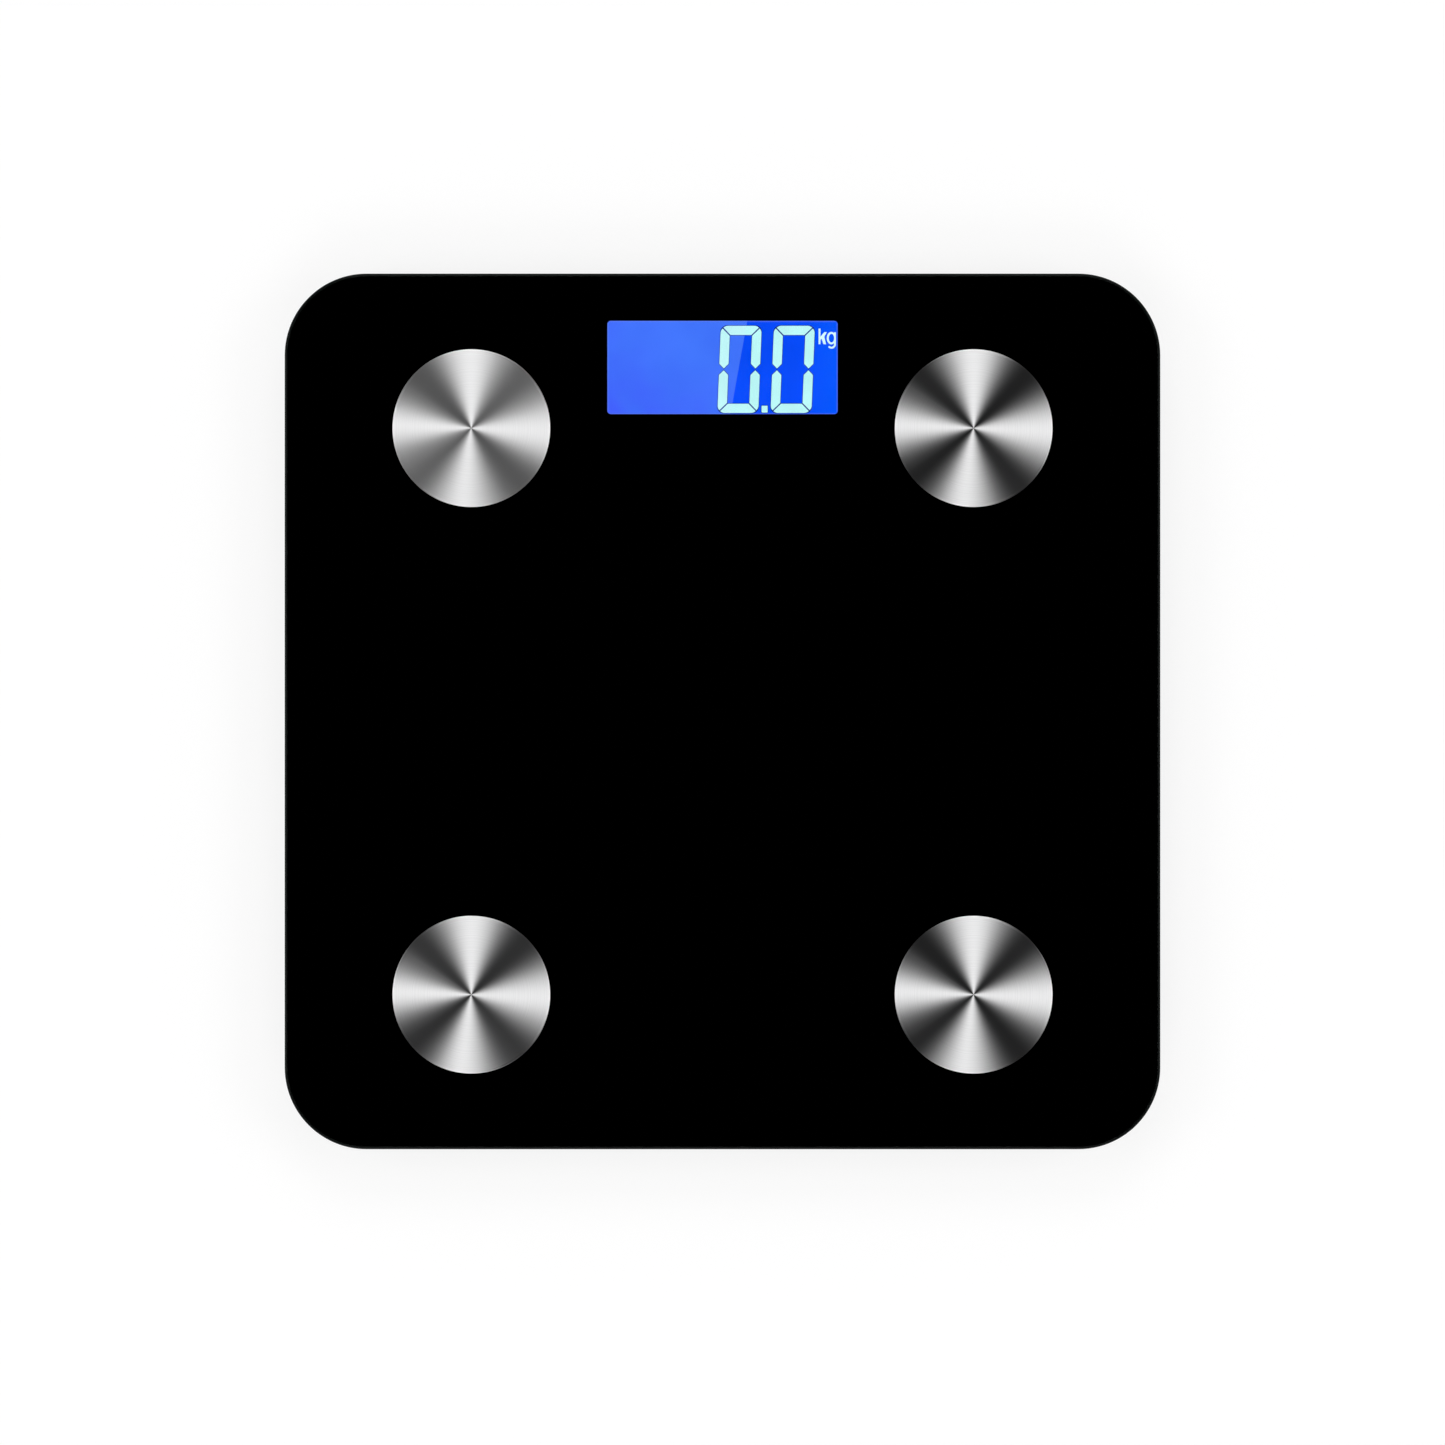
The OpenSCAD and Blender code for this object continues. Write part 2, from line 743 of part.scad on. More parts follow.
// Solid post for one station, with the ribs that carry the glass on top.
module well_block() {
    r = well_r + well_wall_t;
    translate([0, 0, z_tray - collar_h]) cylinder(r = r, h = z_well_top - z_tray + collar_h);
    translate([0, 0, z_well_top - eps]) linear_extrude(z_rim - z_well_top + eps) {
        difference() {
            circle(tower_ring_r + rib_t / 2);
            circle(tower_ring_r - rib_t / 2);
        }
        for (a = [45:90:315]) rotate(a) translate([tower_ring_r, -rib_t / 2])
            square([r - tower_ring_r - 1, rib_t]);
    }
}

module well_cuts() {
    rail_y = cell_w / 2 - seat_rail_w / 2 - 0.4;
    difference() {
        translate([0, 0, z_tray - collar_h - 1])
            cylinder(r = well_r, h = z_ceiling - z_tray + collar_h + 1);
        for (s = [-1, 1])
            translate([-cell_w / 2 + cell_corner_r, s * rail_y - seat_rail_w / 2, z_cell_top])
                cube([cell_w - 2 * cell_corner_r, seat_rail_w, seat_rail_h + 1]);
    }
    for (a = hook_angles) rotate(a)
        translate([hook_r - hook_flex, -hook_w / 2 - 0.3, z_ceiling - 1])
            cube([hook_flex + hook_t + hook_slot_gap, hook_w + 0.6, well_top_t + 2]);
    lead_window();
}

// Way out of the well for the three sensor leads.
module lead_window() {
    half = lead_pitch + lead_r + 0.8;
    translate([-well_r - well_wall_t - 1, -half, z_lead_cell - lead_r - 0.4])
        cube([well_wall_t + 3, 2 * half, lead_d + 0.8]);
}

// Battery box: cells lie side by side under a closed ceiling, and the ledge round it stops the door.
module box_block() {
    translate([-box_in_w / 2 - box_wall_t, box_y0 - box_wall_t, z_tray])
        cube([box_in_w + 2 * box_wall_t, box_in_d + 2 * box_wall_t, z_box_ceiling + box_top_t - z_tray]);
    translate([-door_w / 2 - ledge_w, door_y0 - ledge_w, z_tray])
        cube([door_w + 2 * ledge_w, door_y1 - door_y0 + 2 * ledge_w, z_ledge + ledge_t - z_tray]);
    // Housing along the hinge, closed at both ends by the pin sockets.
    hinge_half_w = door_w / 2 + door_gap + hinge_pin_len + 1.6;
    hinge_h = 2 * hinge_r + door_gap + hinge_wall_t;
    translate([-hinge_half_w, door_y0 - door_gap - hinge_wall_t, z_tray])
        cube([2 * hinge_half_w, box_y0 - door_y0 + door_gap + hinge_wall_t, hinge_h]);
}

module box_cuts() {
    // Bay for the cells, with low cradles left between them.
    difference() {
        translate([-box_in_w / 2, box_y0, z_tray - 1])
            cube([box_in_w, box_in_d, z_box_ceiling - z_tray + 1]);
        for (i = [0:battery_n])
            translate([(i - battery_n / 2) * battery_pitch - 0.2, box_y0 + cradle_end, z_battery + 3])
                cube([0.4, box_in_d - 2 * cradle_end, z_box_ceiling - z_battery]);
    }
    // Recess that the door lies in.
    translate([-door_w / 2 - door_gap, door_y0 - door_gap, z_tray - 1])
        cube([door_w + 2 * door_gap, door_y1 - door_y0 + 2 * door_gap, z_ledge - z_tray + 1]);
    // Room for the hinge nose to turn, and the pin sockets.
    translate([-door_w / 2 - door_gap, hinge_y, z_hinge]) rotate([0, 90, 0])
        cylinder(r = hinge_r + door_gap, h = door_w + 2 * door_gap);
    translate([-door_w / 2 - hinge_pin_len - 0.2, hinge_y, z_hinge]) rotate([0, 90, 0])
        cylinder(d = hinge_pin_d + 2 * hinge_fit, h = door_w + 2 * hinge_pin_len + 0.4, $fn = 48);
    for (s = [-1, 1]) lug_slot(s);
}

module latch_pocket_block() {
    translate([-latch_w / 2 - pocket_gap - pocket_wall_t, box_y1, z_tray])
        cube([latch_w + 2 * (pocket_gap + pocket_wall_t),
            latch_y1 + latch_t + barb_reach + pocket_gap + pocket_wall_t - box_y1,
            latch_h + 2 * pocket_gap + pocket_wall_t + door_t]);
}

scoop_r = 6.6;
scoop_w = 16;
scoop_depth = 1;
scoop_reach = 3.4;

module latch_pocket_cuts() {
    w = latch_w + 2 * pocket_gap;
    y0 = box_y1 + box_wall_t;
    z1 = z_door_in + latch_h + 2 * pocket_gap;
    y1 = latch_y1 + latch_t;
    translate([-w / 2, y0, z_tray - 1]) cube([w, y1 + door_gap - y0, z1 - z_tray + 1]);
    translate([-w / 2, y0, z_floor]) cube([w, y1 + barb_reach + pocket_gap - y0, z1 - z_floor]);
    // Scoop for a fingertip beside the latch.
    translate([0, y1 + scoop_reach, z_tray + scoop_depth - scoop_r]) rotate([0, 90, 0])
        cylinder(r = scoop_r, h = scoop_w, center = true);
}

// Slots in the box's rear wall for the two lugs that leave for the board.
function lug_x(s) = s * 1.5 * battery_pitch;
lug_w = 3;
z_lug = z_battery + 2;

module lug_slot(s) {
    translate([lug_x(s) - lug_w / 2 - 0.2, box_y1 - 1, z_lug - 0.2])
        cube([lug_w + 0.4, box_wall_t + 2, plate_t + 0.4]);
}

module board_bosses() {
    for (s = [-1, 1], y = board_screw_y) translate([s * board_screw_x, y, z_floor - eps]) difference() {
        cylinder(d = boss_d, h = z_board - z_floor + eps);
        translate([0, 0, 0.6]) cylinder(d = board_screw_d + 2 * screw_fit, h = z_board - z_floor);
    }
}

// Ribs stop short of the glass and step over the lanes that the leads run in.
module tray_ribs() {
    h = z_rim - 1.4 - z_floor;
    lane_y1 = lane_turn_y + 8;
    side_rib_x = glass_w / 6;
    side_rib_y1 = board_y0 - 14;
    battery_lane_y1 = board_y0 - 9;
    difference() {
        translate([0, 0, z_floor - eps]) {
            for (y = [-inner_d * 0.27, -inner_d * 0.09])
                translate([-inner_w / 2 - 0.5, y - rib_t / 2, 0]) cube([inner_w + 1, rib_t, h]);
            translate([-inner_w / 2 - 0.5, door_y1 + 9, 0]) cube([inner_w + 1, rib_t, h]);
            for (s = [-1, 0, 1])
                translate([s * side_rib_x - rib_t / 2, -inner_d / 2 - 0.5, 0])
                    cube([rib_t, (s == 0 ? door_y0 - ledge_w - 1 : side_rib_y1) + inner_d / 2 + 0.5, h]);
        }
        for (s = [-1, 1])
            translate([s * lane_x - lane_half_w, -foot_y0 - 8, z_floor])
                cube([2 * lane_half_w, lane_y1 + foot_y0 + 8, lane_h]);
        translate([-lug_x(1) - 4, box_y1, z_floor])
            cube([2 * lug_x(1) + 8, battery_lane_y1 - box_y1, lane_h]);
    }
}

module button_guide() {
    translate([switch_x, switch_y, z_floor - eps])
        cylinder(d = button_flange_d + 2 * (button_gap + guide_wall_t), h = z_plunger - z_floor + 0.4);
}

module button_hole() {
    hole_d = button_d + 2 * button_gap;
    translate([switch_x, switch_y, z_tray - 1]) {
        cylinder(d = hole_d, h = floor_t + 2);
        cylinder(d1 = button_d + 6, d2 = hole_d, h = 1.8);
    }
    translate([switch_x, switch_y, z_floor]) cylinder(d = button_flange_d + 2 * button_gap, h = 10);
}

label_w = 72;
label_d = 40;

// Bare recess for a rating label, and a fine line round the underside.
module underside_marks() {
    translate([0, -inner_d * 0.27, 0]) rounded_slab(label_w, label_d, 2, z_tray - 1, z_tray + 0.3);
    line_in = tray_edge_r + 3;
    difference() {
        rounded_slab(tray_w - 2 * line_in, tray_d - 2 * line_in, tray_corner_r - line_in,
            z_tray - 1, z_tray + 0.35);
        rounded_slab(tray_w - 2 * line_in - 2, tray_d - 2 * line_in - 2, tray_corner_r - line_in - 1,
            z_tray - 2, z_tray + 1);
        for (c = CORNERS) station(c) translate([0, 0, z_tray - 2])
            cylinder(r = well_r + well_wall_t + 2, h = 4);
    }
}

// ---- Battery door and contacts ----

cell_rest_w = 4;
cell_rest_len = 24;
cell_rest_t = 0.3;
grip_w = 18;
grip_line_w = 0.9;
grip_line_depth = 0.4;
grip_pitch = 2.2;
grip_inset = 8;

module battery_door() {
    color([0.06, 0.06, 0.065]) difference() {
        union() {
            translate([-door_w / 2, hinge_y, z_tray]) cube([door_w, door_y1 - hinge_y, door_t]);
            translate([-door_w / 2, hinge_y, z_hinge]) rotate([0, 90, 0])
                cylinder(r = hinge_r, h = door_w);
            translate([-door_w / 2 - hinge_pin_len, hinge_y, z_hinge]) rotate([0, 90, 0])
                cylinder(d = hinge_pin_d, h = door_w + 2 * hinge_pin_len, $fn = 48);
            for (i = [0:battery_n - 1])
                translate([cell_x(i) - cell_rest_w / 2, box_y - cell_rest_len / 2, z_door_in - eps])
                    cube([cell_rest_w, cell_rest_len, cell_rest_t]);
        }
        translate([-latch_w / 2, latch_y, z_tray - 1]) cube([latch_w, 5, door_t + 2]);
        // Grip lines, each shorter than the last.
        for (i = [0:4]) let (w = grip_w - 2 * i * grip_line_w)
            translate([-w / 2, door_y1 - grip_inset - i * grip_pitch, z_tray - 1])
                cube([w, grip_line_w, 1 + grip_line_depth]);
    }
}

// Springy loop fixed in a notch in the door's free edge; its barb catches over the tray's floor.
module door_latch() {
    z0 = z_tray + 0.2;
    z_bend = z_door_in + latch_h - latch_bend_r;
    leg_x = 2 * latch_bend_r;
    color([0.06, 0.06, 0.065]) translate([-latch_w / 2, latch_y, 0])
    rotate([90, 0, 90]) linear_extrude(latch_w) {
        for (x = [0, leg_x]) translate([x, z0]) square([latch_t, z_bend - z0]);
        translate([latch_bend_r + latch_t / 2, z_bend]) intersection() {
            difference() {
                circle(latch_bend_r + latch_t / 2);
                circle(latch_bend_r - latch_t / 2);
            }
            translate([-2 * latch_bend_r, 0]) square([4 * latch_bend_r, 2 * latch_bend_r]);
        }
        polygon([
            [leg_x + latch_t - eps, z_floor + 0.2],
            [leg_x + latch_t + barb_reach, z_floor + 0.2],
            [leg_x + latch_t - eps, z_floor + 2.2],
        ]);
    }
}

function cell_x(i) = (i - (battery_n - 1) / 2) * battery_pitch;
function nub_side(i) = i % 2 == 0 ? 1 : -1;

module battery(i) {
    s = nub_side(i);
    body_len = battery_len - nub_len;
    y_nub = s * (box_in_d / 2 - plate_t - dimple_h);
    color([0.25, 0.5, 0.3]) translate([cell_x(i), box_y + y_nub, z_battery]) rotate([s * 90, 0, 0]) {
        cylinder(d = nub_d, h = nub_len + 0.5);
        translate([0, 0, nub_len]) rotate_extrude() battery_section(body_len);
    }
}

module battery_section(h) {
    r = 0.5;
    square([battery_r - r, h]);
    translate([0, r]) square([battery_r, h - 2 * r]);
    for (y = [r, h - r]) translate([battery_r - r, y]) circle(r);
}

// Steel plates in the end walls. The pairs join the cells in series, and the two outer ones have lugs.
module battery_contacts() {
    w = battery_pitch - 1.6;
    h = 9;
    color([0.8, 0.8, 0.78]) {
        for (i = [0, 3]) contact_plate(cell_x(i), w, h, 1);
        contact_plate(0, battery_pitch + w, h, 1);
        for (s = [-1, 1]) contact_plate(s * battery_pitch, battery_pitch + w, h, -1);
        for (i = [0:battery_n - 1]) dimple(i);
        for (s = [-1, 1]) translate([lug_x(s) - lug_w / 2, box_y1 - plate_t, z_lug])
            cube([lug_w, plate_t + box_wall_t + 2.5, plate_t]);
    }
}

module contact_plate(x, w, h, end) {
    translate([x - w / 2, box_y + end * (box_in_d / 2 - plate_t / 2) - plate_t / 2, z_battery - h / 2])
        cube([w, plate_t, h]);
}

module dimple(i) {
    s = nub_side(i);
    translate([cell_x(i), box_y + s * (box_in_d / 2 - plate_t), z_battery]) rotate([s * 90, 0, 0])
        translate([0, 0, -0.05]) cylinder(d = 3, h = dimple_h + 0.05);
}

spring_wire_d = 0.7;
spring_turns = 3.5;
spring_base_d = 7.4;
spring_tip_d = 4.2;

// Conical springs that press on the flat end of each cell.
module battery_springs() {
    steps = 14;
    total = floor(spring_turns * steps);
    wire_r = spring_wire_d / 2;
    color([0.8, 0.8, 0.8]) for (i = [0:battery_n - 1]) {
        s = -nub_side(i);
        y0 = box_y + s * (box_in_d / 2 - plate_t - wire_r - 0.02);
        run = spring_len - spring_wire_d - 0.04;
        path = [
            for (j = [0:total])
                let (
                    a = 360 * j / steps,
                    r = (spring_base_d + (spring_tip_d - spring_base_d) * j / total) / 2
                )
                [cell_x(i) + r * cos(a), y0 - s * run * j / total, z_battery + r * sin(a)],
        ];
        outward = [for (j = [0:total]) let (a = 360 * j / steps) [cos(a), 0, sin(a)]];
        square_normals = [
            for (j = [0:total]) unit(outward[j] - (outward[j] * tangent(path, j)) * tangent(path, j)),
        ];
        swept_tube(path, square_normals, wire_r, 6);
    }
}

// ---- Load cells and feet ----

neck_w = 8;
head_len = 12;
head_w = 14;

// Pressed steel frame with a tongue held at one side. The foot lifts the boss under the tongue's head.
module load_cell(c) {
    in = cell_w - 2 * cell_bar_w;
    color([0.72, 0.73, 0.75]) station(c) {
        translate([0, 0, z_cell]) linear_extrude(cell_t) {
            difference() {
                rounded_rect(cell_w, cell_w, cell_corner_r);
                rounded_rect(in, in, 2);
            }
            translate([-in / 2 - 1, -neck_w / 2]) square([in / 2 + 1, neck_w]);
            translate([-cell_boss_d / 2, -head_w / 2]) square([head_len, head_w]);
        }
        translate([0, 0, z_post_top]) cylinder(d = cell_boss_d, h = cell_boss_h + eps);
    }
}

gauge_t = 0.5;
gauge_len = 5;
gauge_w = 7;

// Strain gauge and its white sealing compound, under the tongue's neck.
module strain_gauges() {
    color([0.92, 0.92, 0.9]) for (c = CORNERS) station(c)
        translate([-cell_w / 2 + cell_bar_w + gauge_t, -gauge_w / 2, z_cell - gauge_t])
            cube([gauge_len, gauge_w, gauge_t]);
}

module foot_cap(c) {
    r = foot_d / 2;
    color([0.08, 0.08, 0.085]) station(c) {
        difference() {
            rotate_extrude() foot_cap_section(r);
            translate([0, 0, z_cap - 1]) cylinder(d = pad_d + 2 * pad_fit, h = pad_t - z_cap + 1);
        }
        for (a = hook_angles) rotate(a) translate([0, hook_w / 2, 0]) rotate([90, 0, 0])
            linear_extrude(hook_w) hook_section();
    }
}

// Half section of the cap: a shallow cup with the load post in its middle.
module foot_cap_section(r) {
    translate([0, z_cap]) square([r - cap_edge_r, z_cap_plate - z_cap]);
    translate([r - cap_edge_r, z_cap + cap_edge_r]) circle(cap_edge_r);
    translate([r - cap_edge_r - 1, z_cap + cap_edge_r])
        square([cap_edge_r + 1, z_cap_plate - z_cap - cap_edge_r]);
    translate([r - cap_wall_t, z_cap_plate - eps]) square([cap_wall_t, z_skirt_top - z_cap_plate + eps]);
    translate([0, z_cap_plate - eps]) square([post_d / 2, z_post_top - z_cap_plate + eps]);
    translate([0, z_cap_plate - eps]) square([post_d / 2 + 2, 2]);
}

module hook_section() {
    z1 = z_hook + hook_head_h;
    polygon([
        [hook_r, z_cap_plate - eps], [hook_r + hook_t, z_cap_plate - eps], [hook_r + hook_t, z_hook],
        [hook_r + hook_t + hook_reach, z_hook], [hook_r + hook_t + 0.2, z1], [hook_r, z1],
    ]);
}

groove_d = 0.5;
groove_w = 1.2;

// Rubber pad with ring grooves in its tread.
module foot_pad(c) {
    r = pad_d / 2;
    round_r = 0.6;
    color([0.3, 0.3, 0.31]) station(c) difference() {
        rotate_extrude() {
            square([r - round_r, pad_t]);
            translate([0, round_r]) square([r, pad_t - round_r]);
            translate([r - round_r, round_r]) circle(round_r);
        }
        for (k = [0.35, 0.6, 0.84]) translate([0, 0, -1]) difference() {
            cylinder(r = r * k + groove_w / 2, h = 1 + groove_d);
            translate([0, 0, -1]) cylinder(r = r * k - groove_w / 2, h = 3 + groove_d);
        }
    }
}

module unit_button() {
    z0 = z_tray + button_recess;
    color([0.55, 0.56, 0.58]) translate([switch_x, switch_y, 0]) {
        translate([0, 0, z0]) cylinder(d = button_d, h = z_button_flange - z0 + eps);
        translate([0, 0, z_button_flange]) cylinder(d = button_flange_d, h = button_flange_t);
    }
}

// ---- Lead routes ----

// Start of a sensor lead: it leaves the load cell, passes the well's wall and drops to the floor.
function lead_root(c, y) = [
    [c[0] * (foot_x0 - lead_root_r), y, z_lead_cell],
    [c[0] * (foot_x0 - well_r - lead_step), y, z_lead_cell],
    [c[0] * (foot_x0 - well_r - lead_step - lead_slope), y, z_lead],
];

// Places along a front sensor lead, in order from the load cell to the board. k is the core.
function front_sensor_route(c, k) =
    let (o = k * lead_pitch, pad = front_pad(c, k), y = -foot_y0 + o)
    [
        each lead_root(c, y),
        [c[0] * (lane_x + o), y, z_lead],
        [c[0] * (lane_x + o), lane_turn_y + o, z_lead],
        [pad[0], lane_turn_y + o, z_lead],
        [pad[0], pad_row_y - pad_pitch, z_lead + lead_r],
        [pad[0], pad_row_y, z_board - joint_h - lead_r],
    ];

function rear_sensor_route(c, k) =
    let (y = foot_y0 + k * lead_pitch, pad = rear_pad(c, k))
    [
        each lead_root(c, y),
        [c[0] * (board_w / 2 + 3 * lead_step), y, z_lead],
        [c[0] * (board_w / 2 + pad_pitch), pad[1], z_lead + 2 * lead_r],
        [pad[0], pad[1], z_board - joint_h - lead_r],
    ];

// Mouth of the crimped barrel, where an electrode's lead begins.
function electrode_start(c) =
    [c[0] * (electrode_x0 - terminal_len - 0.05), c[1] * electrode_y0, z_barrel];

function front_electrode_route(c) =
    let (o = 3 * lead_pitch, pad = front_pad(c, 3), a = electrode_start(c))
    [
        a,
        a - [c[0] * lead_step / 2, 0, 0],
        [c[0] * (lane_x + o), a[1] + lead_slope, z_lead + lead_slope / 1.5],
        [c[0] * (lane_x + o), a[1] + 2 * lead_slope, z_lead],
        [c[0] * (lane_x + o), lane_turn_y + o, z_lead],
        [pad[0], lane_turn_y + o, z_lead],
        [pad[0], pad_row_y - pad_pitch / 2, z_lead + lead_r],
        [pad[0], pad_row_y, z_board - joint_h - lead_r],
    ];

function rear_electrode_route(c) =
    let (pad = rear_electrode_pad(c), a = electrode_start(c))
    [
        a,
        a - [c[0] * pad_pitch, 0, 0],
        [c[0] * (board_w / 2 + 8 * pad_pitch), a[1] + pad_pitch, z_lead],
        [c[0] * (board_w / 2 + 4 * pad_pitch), pad[1], z_lead],
        [pad[0], pad[1], z_board - joint_h - lead_r],
    ];

function battery_route(s) =
    let (x = lug_x(s), pad = battery_pad(s), y = box_y1 + box_wall_t + 2.5)
    [
        [x, y - 0.5, z_lug - lead_r],
        [x, y + pad_pitch, z_lug - lead_r - 1],
        [x, y + 4 * pad_pitch, z_lead],
        [x, board_y0 - 4 * pad_pitch, z_lead],
        [pad[0], board_y0 - 2 * pad_pitch, z_lead],
        [pad[0], pad_row_y - pad_pitch / 2, z_lead + lead_r],
        [pad[0], pad_row_y, z_board - joint_h - lead_r],
    ];

// One core of all four load cells' leads.
module sensor_leads(k) {
    for (c = [FRONT_LEFT, FRONT_RIGHT]) lead(front_sensor_route(c, k));
    for (c = [REAR_LEFT, REAR_RIGHT]) lead(rear_sensor_route(c, k));
}

module electrode_leads() {
    for (c = [FRONT_LEFT, FRONT_RIGHT]) lead(front_electrode_route(c));
    for (c = [REAR_LEFT, REAR_RIGHT]) lead(rear_electrode_route(c));
}

glass_platform();
back_print();
electrode(REAR_LEFT);  // electrode_rear_left
electrode(REAR_RIGHT);  // electrode_rear_right
electrode(FRONT_LEFT);  // electrode_front_left
electrode(FRONT_RIGHT);  // electrode_front_right
electrode_terminals();
electrode_nuts();
rim_tape();
tower_tape();
display_gasket();
front_polariser();
display_cell();
rear_polariser();
light_guide();
backlight_leds();
display_frame();
zebra_strip();
main_board();
chip_cover();
radio_module();
quartz_can();
board_capacitors();
board_parts();
solder_joints();
switch_housing();
switch_plunger();
board_screws();
base_tray();
battery_door();
door_latch();
battery_contacts();
battery_springs();
battery(0);  // battery_1
battery(1);  // battery_2
battery(2);  // battery_3
battery(3);  // battery_4
load_cell(REAR_LEFT);  // load_cell_rear_left
load_cell(REAR_RIGHT);  // load_cell_rear_right
load_cell(FRONT_LEFT);  // load_cell_front_left
load_cell(FRONT_RIGHT);  // load_cell_front_right
strain_gauges();
foot_cap(REAR_LEFT);  // foot_cap_rear_left
foot_cap(REAR_RIGHT);  // foot_cap_rear_right
foot_cap(FRONT_LEFT);  // foot_cap_front_left
foot_cap(FRONT_RIGHT);  // foot_cap_front_right
foot_pad(REAR_LEFT);  // foot_pad_rear_left
foot_pad(REAR_RIGHT);  // foot_pad_rear_right
foot_pad(FRONT_LEFT);  // foot_pad_front_left
foot_pad(FRONT_RIGHT);  // foot_pad_front_right
color([0.8, 0.1, 0.1]) sensor_leads(-1);  // sensor_leads_red
color([0.9, 0.9, 0.9]) sensor_leads(0);  // sensor_leads_white
color([0.1, 0.1, 0.1]) sensor_leads(1);  // sensor_leads_black
color([0.9, 0.75, 0.1]) electrode_leads();
color([0.8, 0.1, 0.1]) lead(battery_route(-1));  // battery_lead_red
color([0.1, 0.1, 0.1]) lead(battery_route(1));  // battery_lead_black
unit_button();
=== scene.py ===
"""Looks of a digital bathroom scale: glass, spun electrodes, lit display, tray and feet."""

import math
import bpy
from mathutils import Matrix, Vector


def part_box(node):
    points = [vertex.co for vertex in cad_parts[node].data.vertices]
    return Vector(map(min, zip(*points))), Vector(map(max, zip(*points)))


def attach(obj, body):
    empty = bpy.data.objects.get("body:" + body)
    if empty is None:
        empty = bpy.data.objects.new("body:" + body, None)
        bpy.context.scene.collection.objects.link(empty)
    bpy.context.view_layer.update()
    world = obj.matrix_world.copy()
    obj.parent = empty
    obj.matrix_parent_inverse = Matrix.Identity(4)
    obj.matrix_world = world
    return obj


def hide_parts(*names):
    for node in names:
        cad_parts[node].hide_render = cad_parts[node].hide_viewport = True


bl_info = {
    "name": "Digital Bathroom Scale",
    "version": (1, 0, 0),
    "blender": (4, 5, 0),
    "location": "View3D > Sidebar > Bathroom Scale",
    "description": "Builds the looks of a digital bathroom scale around its frame",
    "category": "Add Mesh",
}

import bmesh
import bpy
from mathutils import Vector

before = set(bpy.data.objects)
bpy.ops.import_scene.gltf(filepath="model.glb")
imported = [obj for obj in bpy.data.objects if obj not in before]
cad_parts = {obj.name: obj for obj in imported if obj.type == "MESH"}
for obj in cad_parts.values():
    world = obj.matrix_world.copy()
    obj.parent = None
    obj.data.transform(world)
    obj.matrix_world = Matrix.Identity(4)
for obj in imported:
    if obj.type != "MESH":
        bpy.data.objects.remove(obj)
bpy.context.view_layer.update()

MM = 0.001
ROOT_BODY = "scale"
CORNERS = ("rear_left", "rear_right", "front_left", "front_right")
# Surfaces that meet at a wider angle than this get a sharp line.
SHARP = math.radians(32)
TURNED_MAP = "turned"
# Most of a noise lies between these.
NOISE_LOW, NOISE_HIGH = 0.3, 0.7


# ---------------------------------------------------------------- geometry helpers


def on_circle(x, y, radius, angle):
    return (x + radius * math.cos(angle), y + radius * math.sin(angle))


def rounded_outline(width, depth, radius, steps):
    """Points of a rounded rectangle round the origin, anticlockwise."""
    points = []
    for quarter, (sx, sy) in enumerate([(1, 1), (-1, 1), (-1, -1), (1, -1)]):
        cx = sx * (width / 2 - radius)
        cy = sy * (depth / 2 - radius)
        for i in range(steps + 1):
            points.append(on_circle(cx, cy, radius, math.radians(90 * (quarter + i / steps))))
    return points


def circle_outline(x, y, radius, steps=32):
    return [on_circle(x, y, radius, 2 * math.pi * i / steps) for i in range(steps)]


def ellipse_arc(cx, cy, rx, ry, start, end, steps):
    """Points round an ellipse from one angle to another, in degrees."""
    turns = [math.radians(start + (end - start) * i / steps) for i in range(steps + 1)]
    return [(cx + rx * math.cos(a), cy + ry * math.sin(a)) for a in turns]


def shade_by_angle(bm):
    bm.normal_update()
    for face in bm.faces:
        face.smooth = True
    for edge in bm.edges:
        edge.smooth = len(edge.link_faces) == 2 and edge.calc_face_angle(0) < SHARP


def store_mesh(bm, name):
    mesh = bpy.data.meshes.new(name)
    bm.to_mesh(mesh)
    bm.free()
    return mesh


def finish_mesh(bm, name):
    bmesh.ops.recalc_face_normals(bm, faces=bm.faces)
    shade_by_angle(bm)
    return store_mesh(bm, name)


def add_piece(name, mesh, body, place=(0, 0, 0), materials=(), replaced=()):
    piece = bpy.data.objects.new(name, mesh)
    bpy.context.scene.collection.objects.link(piece)
    piece.location = place
    for made in materials:
        mesh.materials.append(made)
    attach(piece, body)
    if replaced:
        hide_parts(*replaced)


def ring_of(bm, outline, z):
    return [bm.verts.new((x, y, z)) for x, y in outline]


def join_rings(bm, lower, upper):
    """A band of faces between two rings of as many points."""
    n = len(lower)
    faces = []
    for i in range(n):
        j = (i + 1) % n
        faces.append(bm.faces.new((lower[i], lower[j], upper[j], upper[i])))
    return faces


def cap_rings(bm, rings, up):
    """Fills the area between the first ring and the holes that the others bound."""
    edges = []
    for ring in rings:
        for a, b in zip(ring, ring[1:] + ring[:1]):
            edges.append(bm.edges.get((a, b)) or bm.edges.new((a, b)))
    normal = (0, 0, 1 if up else -1)
    made = bmesh.ops.triangle_fill(bm, use_beauty=True, edges=edges, normal=normal)
    return [g for g in made["geom"] if isinstance(g, bmesh.types.BMFace)]


